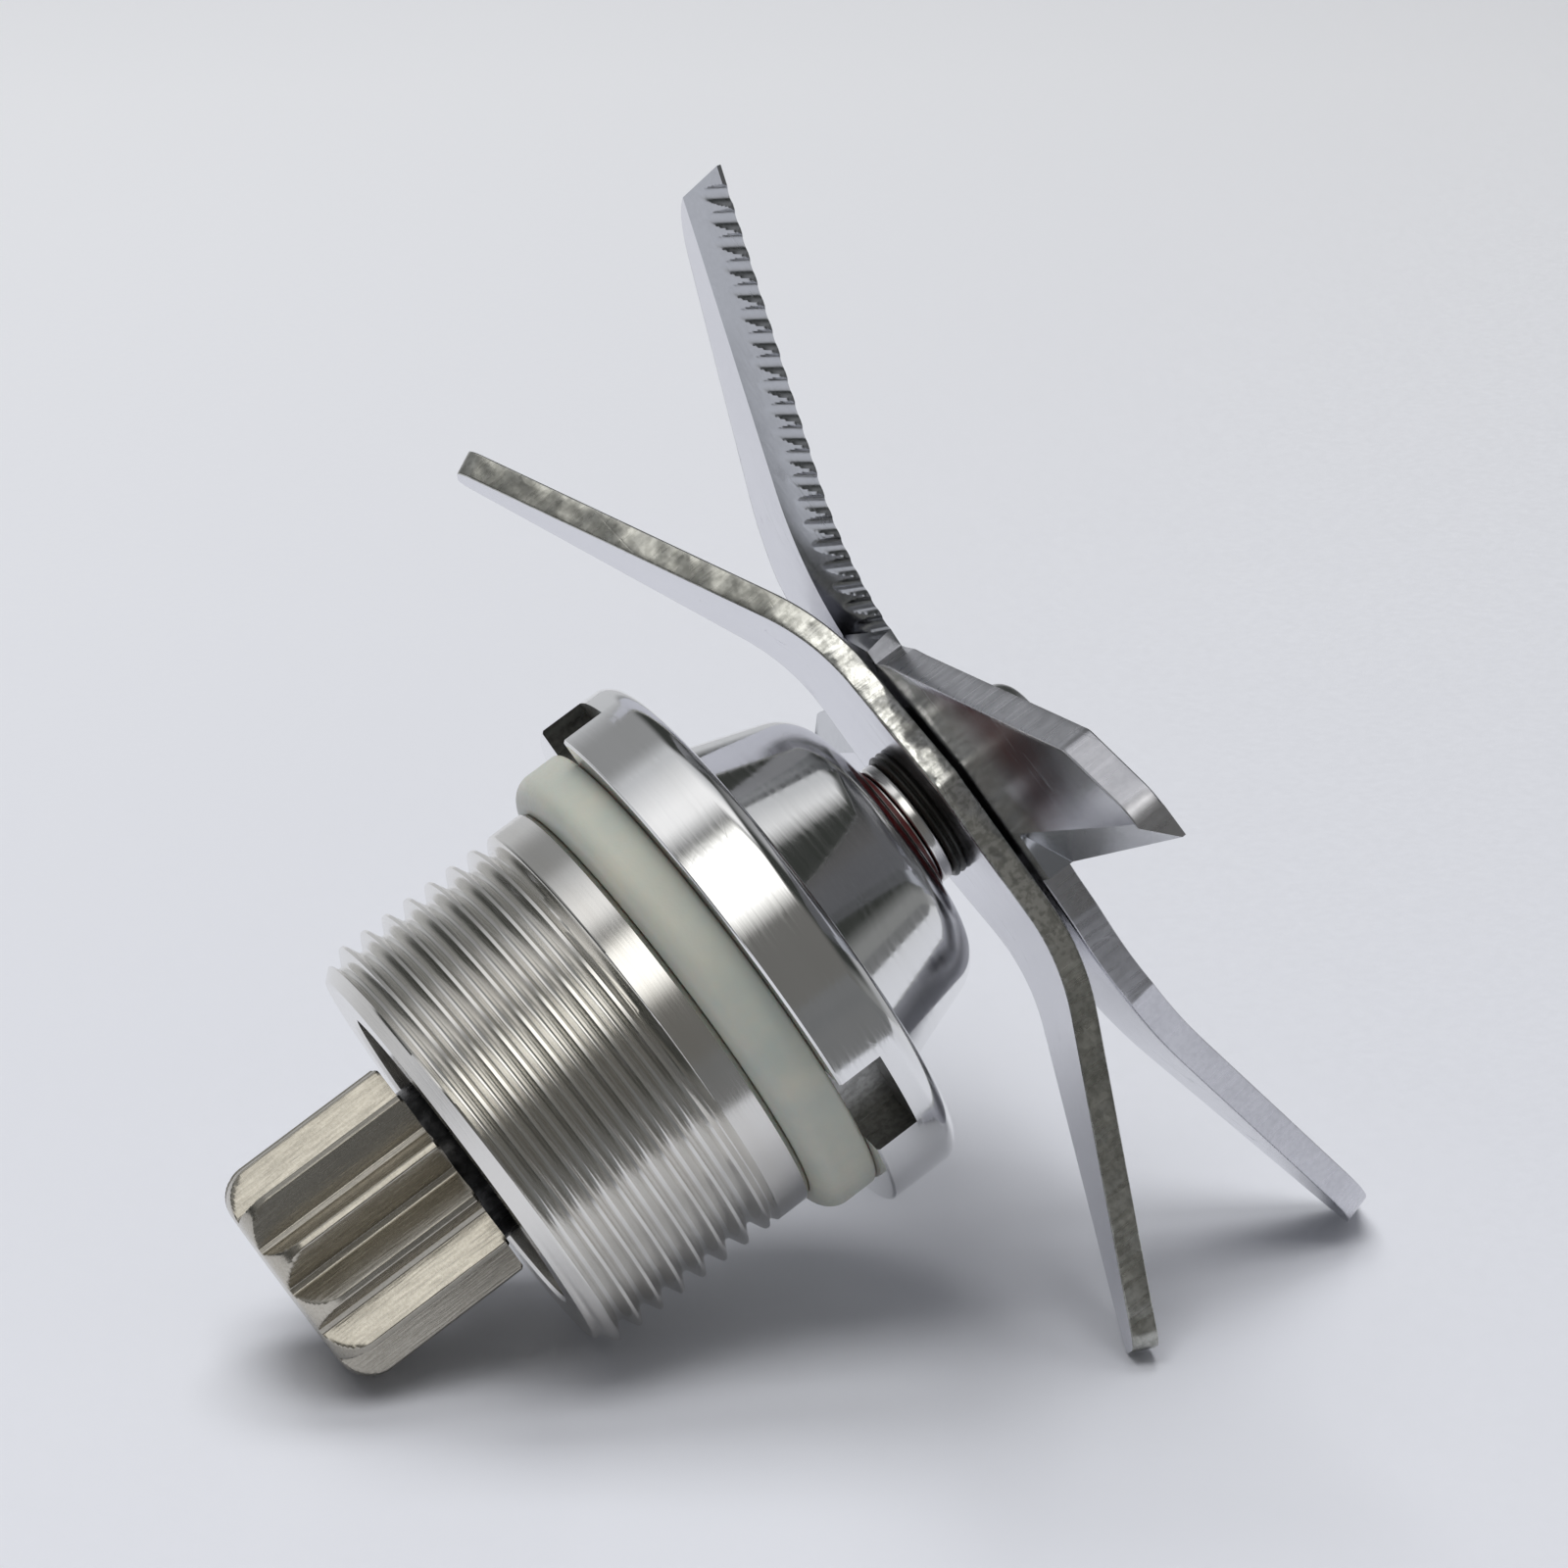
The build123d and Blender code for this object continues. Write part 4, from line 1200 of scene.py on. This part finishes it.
    def end_cap(self, rim: Array) -> Array:
        """End of an arm, between the lower and the upper half of its last section.

        Args:
            rim: Points of the section.

        Returns:
            Two rows of points, from the land at the cutting edge to the middle of the back's wall.
        """
        faces = self.bevel_rows + self.web_rows
        middle, top = faces + WALL_POINTS // 2, faces + WALL_POINTS
        over = top + self.top_columns - 1 - np.searchsorted(self.columns(), np.arange(faces))
        below = np.concatenate([[-1], np.arange(middle + 1)])
        above = np.concatenate([[-LAND_POINTS], over, np.arange(top - 1, middle - 1, -1)])
        return rim[np.stack([below, above])]

    def build(self, finishes: Finishes) -> None:
        """Build the four arms as one piece and seat it.

        Args:
            finishes: Materials of the assembly.
        """
        near = self.plain.azimuth - self.serrated.azimuth
        cut_s, back_p, run_p = self.corner(self.serrated, self.plain, near)
        cut_p, back_s, run_s = self.corner(self.plain, self.serrated, 180 - near)
        tags = np.repeat([2, 0, 1, 0, 2], [self.bevel_rows - 1, self.web_rows, WALL_POINTS + 1,
                                           self.top_columns - 1, LAND_POINTS + 1])
        shell = Shell()
        for arm, *corner in ((self.serrated, cut_s, back_s, run_s), (self.plain, cut_p, back_p, run_p)):
            loop, lower, upper = self.arm_grids(arm, *corner)
            for half_turn in HALF_TURNS:
                shell.grid(spin(loop, half_turn), ring=True, tags=tags)
                shell.grid(spin(self.end_cap(loop[-1]), half_turn), 1)
                shell.grid(spin(lower, half_turn), 0)
                shell.grid(spin(upper, half_turn), 0)
        steels = [finishes.blade, finishes.burnished, finishes.ground]
        blade = shell.make("upper_blade_sheet", steels, sharp=16)
        seat(blade, Body.ROTOR, "blade_steel", "upper_blade")


# Small pieces on the shaft

@dataclass
class ShaftStack:
    """Thrust washer, spacer collar, shim and cap nut, from the seal up."""

    bore: float = 4.02
    washer: tuple[float, float, float] = (5.25, 17.6, 18.8)
    washer_round: float = 0.35
    collar: tuple[float, float, float] = (5.628, 18.8, 19.9)
    collar_groove: float = 0.3
    shim: tuple[float, float, float] = (7.0, 21.9, 22.2)
    stud_radius: float = 3.02
    nut_flats: float = 10.0
    nut_bottom: float = 25.4
    nut_hex: float = 3.6
    nut_chamfer: float = 0.5
    nut_dome: tuple[float, float, float] = (4.6, 5.6, 1.7)

    def nut(self, finish: Material) -> bpy.types.Object:
        """Cap nut: the radius is the hexagon's, held inside a chamfer cone, up to the shoulder of the cap.

        Args:
            finish: Material of the nut.

        Returns:
            The nut's object.
        """
        angles = full_turn(240)
        apothem = self.nut_flats / 2
        corner = apothem / math.cos(math.pi / 6)
        fold = (angles + math.pi / 6) % (math.pi / 3) - math.pi / 6
        hexagon = apothem / np.cos(fold)
        steps = np.array([0, 0.12, 0.25, 0.4, 0.5, 0.7])
        rise = np.concatenate([steps, self.nut_hex - steps[::-1]])
        cone = corner - np.clip(self.nut_chamfer - np.minimum(rise, self.nut_hex - rise), 0, None)
        wall = np.minimum(hexagon[None], cone[:, None])
        body = np.stack([wall * np.cos(angles), wall * np.sin(angles),
                         np.broadcast_to(rise[:, None], wall.shape)], -1)
        radius, top, brow = self.nut_dome
        cap = turned(rounded([
            (apothem - 0.3, self.nut_hex), (radius, self.nut_hex), (radius, top), (0.0, top)],
            [0, 0.1, brow, 0], steps=14), angles)
        foot = turned(np.array([(0.0, 0.0), (self.stud_radius, 0.0)]), angles)
        shell = Shell()
        shell.grid(np.concatenate([foot, body, cap]) + np.array([0, 0, self.nut_bottom]), 0, ring=True)
        return shell.make("nut_cap", [finish], sharp=30)

    def build(self, finishes: Finishes) -> None:
        """Build and seat every piece of the stack.

        Args:
            finishes: Materials of the assembly.
        """
        radius, low, high = self.washer
        line = rounded([(self.bore, low), (radius, low), (radius, high), (self.bore, high)],
                       [0.1, self.washer_round, self.washer_round, 0.1], closed=True, steps=8)
        seat(turned_ring("washer_ring", line, finishes.bright), Body.ROTOR, "washer_steel", "thrust_washer")

        radius, low, high = self.collar
        neck, half = radius - self.collar_groove, (low + high) / 2
        bulge = (half - low) / 2
        line = rounded([
            (self.bore, low), (neck, low), (radius, low + bulge), (neck, half), (radius, half + bulge),
            (neck, high), (self.bore, high)], [0, 0, 0.2, 0.03, 0.2, 0, 0], closed=True, steps=6)
        collar = turned_ring("collar_ring", line, finishes.black_rubber)
        seat(collar, Body.ROTOR, "black_rubber", "spacer_collar")

        radius, low, high = self.shim
        line = rounded([(self.bore, low), (radius, low), (radius, high), (self.bore, high)], [0, 0.1, 0.1, 0],
                       closed=True, steps=4)
        seat(turned_ring("shim_ring", line, finishes.black_rubber), Body.ROTOR, "shim_plastic", "blade_shim")
        seat(self.nut(finishes.satin), Body.ROTOR, "nut_chrome", "cap_nut")


@dataclass(frozen=True)
class InnerPieces:
    """Pieces of the frame that keep their own meshes."""

    def dress(self, finishes: Finishes) -> None:
        """Give each node of the frame that is still shown its finish.

        Args:
            finishes: Materials of the assembly.
        """
        # The shields and spacer in the barrel's mouth take black steel: partly their own colour, partly
        # painted shade of the recess.
        choice = {
            "circlip": finishes.steel, "garter_spring": finishes.steel, "lock_washer": finishes.satin,
            "lower_shields": finishes.shaded_black, "spline_spacer": finishes.shaded_black,
            "lower_cage": finishes.plastic, "upper_cage": finishes.plastic,
            "lower_balls": finishes.bright, "upper_balls": finishes.bright,
        }
        for name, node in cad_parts.items():
            if node.hide_render:
                continue
            node.data.materials.clear()
            node.data.materials.append(choice.get(name, finishes.steel))
            log.info("%s keeps its mesh", name)


# Studio

@dataclass
class Studio:
    """Table, soft lights and the camera, which stands where the photograph was taken.

    The assembly lies on three points: the spline, a lower arm and an upper arm. The table's up
    direction and its drop below the frame's origin follow from them.
    """

    up: Colour = (0.772, 0.376, 0.512)
    drop: float = 27.75
    tilt: float = 8.248
    roll: float = 36.82
    origin_px: tuple[float, float] = (729.57, 986.69)
    focal_px: float = 5418.1
    distance: float = 400.1
    picture_px: float = 1600.0
    sensor: float = 36.0
    table_radius: float = 3.0
    # Span in metres over which the table is painted paler: painted light that makes up for the lamps'
    # falloff.
    table_painted_light: tuple[float, float] = (0.08, 0.55)
    table_thin: tuple[float, float] = (0.9, 2.6)
    room_radius: float = 1.6
    near_side: float = 0.055
    near_lift: float = 0.5
    box_size: tuple[float, float] = (1.2, 0.9)
    air: Colour = (0.22, 0.222, 0.232)

    def axes(self) -> Array:
        """Camera axes (right, up, back) as rows, in the frame's coordinates."""
        tilt, roll = math.radians(self.tilt), math.radians(self.roll)
        z = np.array([math.cos(roll) * math.cos(tilt), math.sin(roll) * math.cos(tilt), -math.sin(tilt)])
        x = np.array([-math.sin(roll), math.cos(roll), 0.0])
        return np.stack([x, np.cross(z, x), z], 1)

    def table_axes(self) -> tuple[Array, Array, Array]:
        """Right, up and towards the camera along the table, as unit vectors."""
        up = np.array(self.up) / np.linalg.norm(self.up)
        right = self.axes()[0] - (self.axes()[0] @ up) * up
        right = right / np.linalg.norm(right)
        return right, up, np.cross(right, up)

    def spot(self, right: float, up: float, near: float) -> Array:
        """Place over the table in metres, from the point under the frame's origin."""
        x, y, z = self.table_axes()
        return x * right + y * (up - self.drop * MM) + z * near

    def camera(self) -> None:
        """Set the camera: the frame's origin falls on its pixel at the photograph's distance."""
        axes = self.axes()
        middle = self.picture_px / 2
        scale = self.distance / self.focal_px
        across, down = self.origin_px
        seen = np.array([(across - middle) * scale, (middle - down) * scale, -self.distance])
        place = Matrix([[*axes[:, row], 0.0] for row in range(3)] + [[0, 0, 0, 1]])
        place.translation = Vector(-(axes.T @ seen) * MM)
        lens = bpy.data.cameras.new("photo_camera")
        lens.sensor_width = self.sensor
        lens.lens = self.sensor * self.focal_px / self.picture_px
        lens.clip_start, lens.clip_end = 0.01, 20.0
        camera = bpy.data.objects.new("photo_camera", lens)
        camera.matrix_world = place
        bpy.context.scene.collection.objects.link(camera)
        bpy.context.scene.camera = camera

    def table(self) -> None:
        """Round pale table top, painted paler away from the middle where the lamps fall off, that thins out
        into the background and is clear from below.
        """
        x, y, z = self.table_axes()
        radius = np.linspace(0, self.table_radius, 25)
        angle = full_turn(96)
        flat = np.stack([radius[:, None] * np.cos(angle), radius[:, None] * np.sin(angle)], -1)
        points = flat[..., :1] * z + flat[..., 1:] * x - y * self.drop * MM
        shell = Shell()
        shell.grid(points / MM, 0, ring=True)
        material, nodes, place = new_material("Pale table")
        patina = place_group(nodes, Effect.PATINA, place, Broad=6.0, Fine=900.0)
        length = nodes.add("ShaderNodeVectorMath", {0: place}, operation="LENGTH").outputs["Value"]
        colour = nodes.blend(patina["Blotch"], (0.785, 0.80, 0.85), (0.795, 0.81, 0.86))
        # Painted light: the table turns paler away from the middle to make up for the lamps' falloff there.
        colour = nodes.blend(nodes.span(length, *self.table_painted_light), colour, (0.93, 0.94, 0.965))
        rough = nodes.span(patina["Grain"], 0, 1, 0.30, 0.42)
        shader = nodes.add("ShaderNodeBsdfPrincipled", {
            "Base Color": colour, "Roughness": rough, "Specular IOR Level": 0.25})
        clear = nodes.add("ShaderNodeBsdfTransparent")
        thin = nodes.span(length, *self.table_thin)
        behind = nodes.add("ShaderNodeNewGeometry").outputs["Backfacing"]
        share = nodes.math("MAXIMUM", thin, behind)
        mixed = nodes.add("ShaderNodeMixShader", {0: share, 1: shader.outputs[0], 2: clear.outputs[0]})
        nodes.add("ShaderNodeOutputMaterial", {"Surface": mixed.outputs[0]})
        top = shell.make("table_top", [material])
        normals = np.zeros(len(top.data.polygons) * 3)
        top.data.polygons.foreach_get("normal", normals)
        if normals.reshape(-1, 3).mean(0) @ y < 0:
            top.data.flip_normals()

    def lamp(self, name: str, place: Array, aim: Array, power: float) -> None:
        """White soft box that faces a point, with its width along the table. Metal mirrors the room instead.

        Args:
            name: Name of the lamp.
            place: Where it hangs.
            aim: Point that it faces.
            power: Power in watts.
        """
        light = bpy.data.lights.new(name, "AREA")
        light.shape = "RECTANGLE"
        light.size, light.size_y = self.box_size
        light.energy = power
        lamp = bpy.data.objects.new(name, light)
        z = (place - aim) / np.linalg.norm(place - aim)
        x = self.table_axes()[0] - (self.table_axes()[0] @ z) * z
        x = x / np.linalg.norm(x)
        turn = np.stack([x, np.cross(z, x), z, place], 1)
        lamp.matrix_world = Matrix([*turn.tolist(), [0, 0, 0, 1]])
        lamp.visible_glossy = lamp.visible_camera = False
        bpy.context.scene.collection.objects.link(lamp)

    def mirrored(self, name: str, points: Array, colour: Socket, nodes: Nodes, material: Material) -> None:
        """Glowing surface of the surroundings that only reflections show.

        Args:
            name: Name of the object.
            points: Grid of points in metres.
            colour: Colour of its glow.
            nodes: Tree of its material.
            material: The material.
        """
        glow = nodes.add("ShaderNodeEmission", {"Color": colour, "Strength": 1.0})
        nodes.add("ShaderNodeOutputMaterial", {"Surface": glow.outputs[0]})
        shell = Shell()
        shell.grid(points / MM, 0)
        made = shell.make(name, [material])
        made.visible_camera = made.visible_diffuse = made.visible_shadow = made.visible_transmission = False
        material.cycles.emission_sampling = "NONE"

    def surround(self) -> None:
        """Room around the table and a dark sheet of painted shade over the table's near side, both seen only
        in reflections.

        The room's tone depends on the direction from the table's middle: dark to the right, light at the
        far wall and to the far right, grey to the left and at the camera's side, with a pale panel
        overhead and a white one above the camera.
        """
        x, y, z = self.table_axes()
        material, nodes, place = new_material("Dim room")
        way = nodes.add("ShaderNodeVectorMath", {0: place}, operation="NORMALIZE").outputs[0]

        def toward(direction: Array, first: float, full: float) -> Socket:
            """Share that grows from 0 to 1 as the cosine to a direction goes from first to full."""
            cosine = nodes.add("ShaderNodeVectorMath", {0: way, 1: tuple(direction)}, operation="DOT_PRODUCT")
            return nodes.span(cosine.outputs[1], first, full)

        def within(*shares: Socket) -> Socket:
            """Product of several shares."""
            return functools.reduce(lambda one, two: nodes.math("MULTIPLY", one, two), shares)

        left = within(toward(-x, 0.18, 0.46), toward(y, 0.15, 0.45))
        tone = nodes.blend(left, (0.04, 0.043, 0.04), (0.28, 0.285, 0.29))
        tone = nodes.blend(within(toward(x, 0.5, 0.9), toward(-y, -0.25, -0.1)), tone, (0.23, 0.235, 0.235))
        tone = nodes.blend(within(toward(x, 0.3, 0.65), toward(-z, -0.1, 0.25)), tone, (0.42, 0.425, 0.44))
        tone = nodes.blend(toward(z, 0.55, 0.85), tone, (0.15, 0.148, 0.142))
        far = within(toward(-z, 0.5, 0.85), toward(-0.53 * x - 0.85 * y, -0.24, -0.08))
        tone = nodes.blend(far, tone, (0.55, 0.56, 0.58))
        ceiling = within(toward(-x, -0.34, -0.22), toward(y, 0.76, 0.86),
                         toward(-z, -0.46, -0.30), toward(z, -0.36, -0.22))
        panel = nodes.blend(toward(z, -0.15, 0.18), (0.56, 0.57, 0.59), (0.98, 0.98, 0.99))
        tone = nodes.blend(ceiling, tone, panel)
        front = within(toward(x, -0.26, -0.17), toward(-x, -0.30, -0.20),
                       toward(y, 0.46, 0.60), toward(z, 0.42, 0.52))
        tone = nodes.blend(front, tone, (1.50, 1.49, 1.45))
        angle = np.linspace(0, 2 * math.pi, 73)[None, :, None]
        rise = np.linspace(0, math.pi / 2, 25)[:, None, None]
        ring = np.cos(angle) * z + np.sin(angle) * x
        points = self.room_radius * (np.cos(rise) * ring + np.sin(rise) * y) - self.drop * MM * y
        self.mirrored("dim_room", points, tone, nodes, material)

        # Painted shade: a dark sheet over the table's near side, shown only in reflections, where the table
        # lies in shade.
        material, nodes, place = new_material("Painted shade near side")
        patina = place_group(nodes, Effect.PATINA, place, Broad=8.0, Fine=60.0)
        tone = nodes.blend(patina["Blotch"], (0.15, 0.155, 0.16), (0.18, 0.182, 0.185))
        across = np.linspace(-self.room_radius, self.room_radius, 9)[None, :, None]
        along = np.linspace(self.near_side, self.room_radius, 9)[:, None, None]
        points = across * x + along * z - (self.drop - self.near_lift) * MM * y
        self.mirrored("painted_shade_near_side", points, tone, nodes, material)

    def build(self) -> None:
        """Set the colour view, the world, the table, the lights and the camera."""
        scene = bpy.context.scene
        scene.view_settings.view_transform = "Standard"
        world = bpy.data.worlds.new("Pale room")
        scene.world = world
        world.use_nodes = True
        nodes = Nodes(world.node_tree)
        glow = nodes.add("ShaderNodeBackground", {"Color": (*self.air, 1.0), "Strength": 1.0})
        nodes.add("ShaderNodeOutputWorld", {"Surface": glow.outputs[0]})
        self.table()
        self.surround()
        aim = self.spot(0.0, 0.03, 0.0)
        self.lamp("front_box", self.spot(-0.2, 1.8, 0.75), aim, 17.0)
        self.lamp("back_box", self.spot(-0.15, 1.8, -0.45), aim, 14.0)
        self.camera()


def main() -> None:
    """Build every piece in order."""
    logging.basicConfig(level=logging.INFO, format="%(name)s: %(message)s")
    finishes = Finishes()
    Housing().build(finishes)
    Seal().build(finishes)
    DriveSpline().build(finishes)
    ShaftStack().build(finishes)
    LowerBlade().build(finishes)
    UpperBlade().build(finishes)
    InnerPieces().dress(finishes)
    Studio().build()


if __name__ == "__main__":
    main()
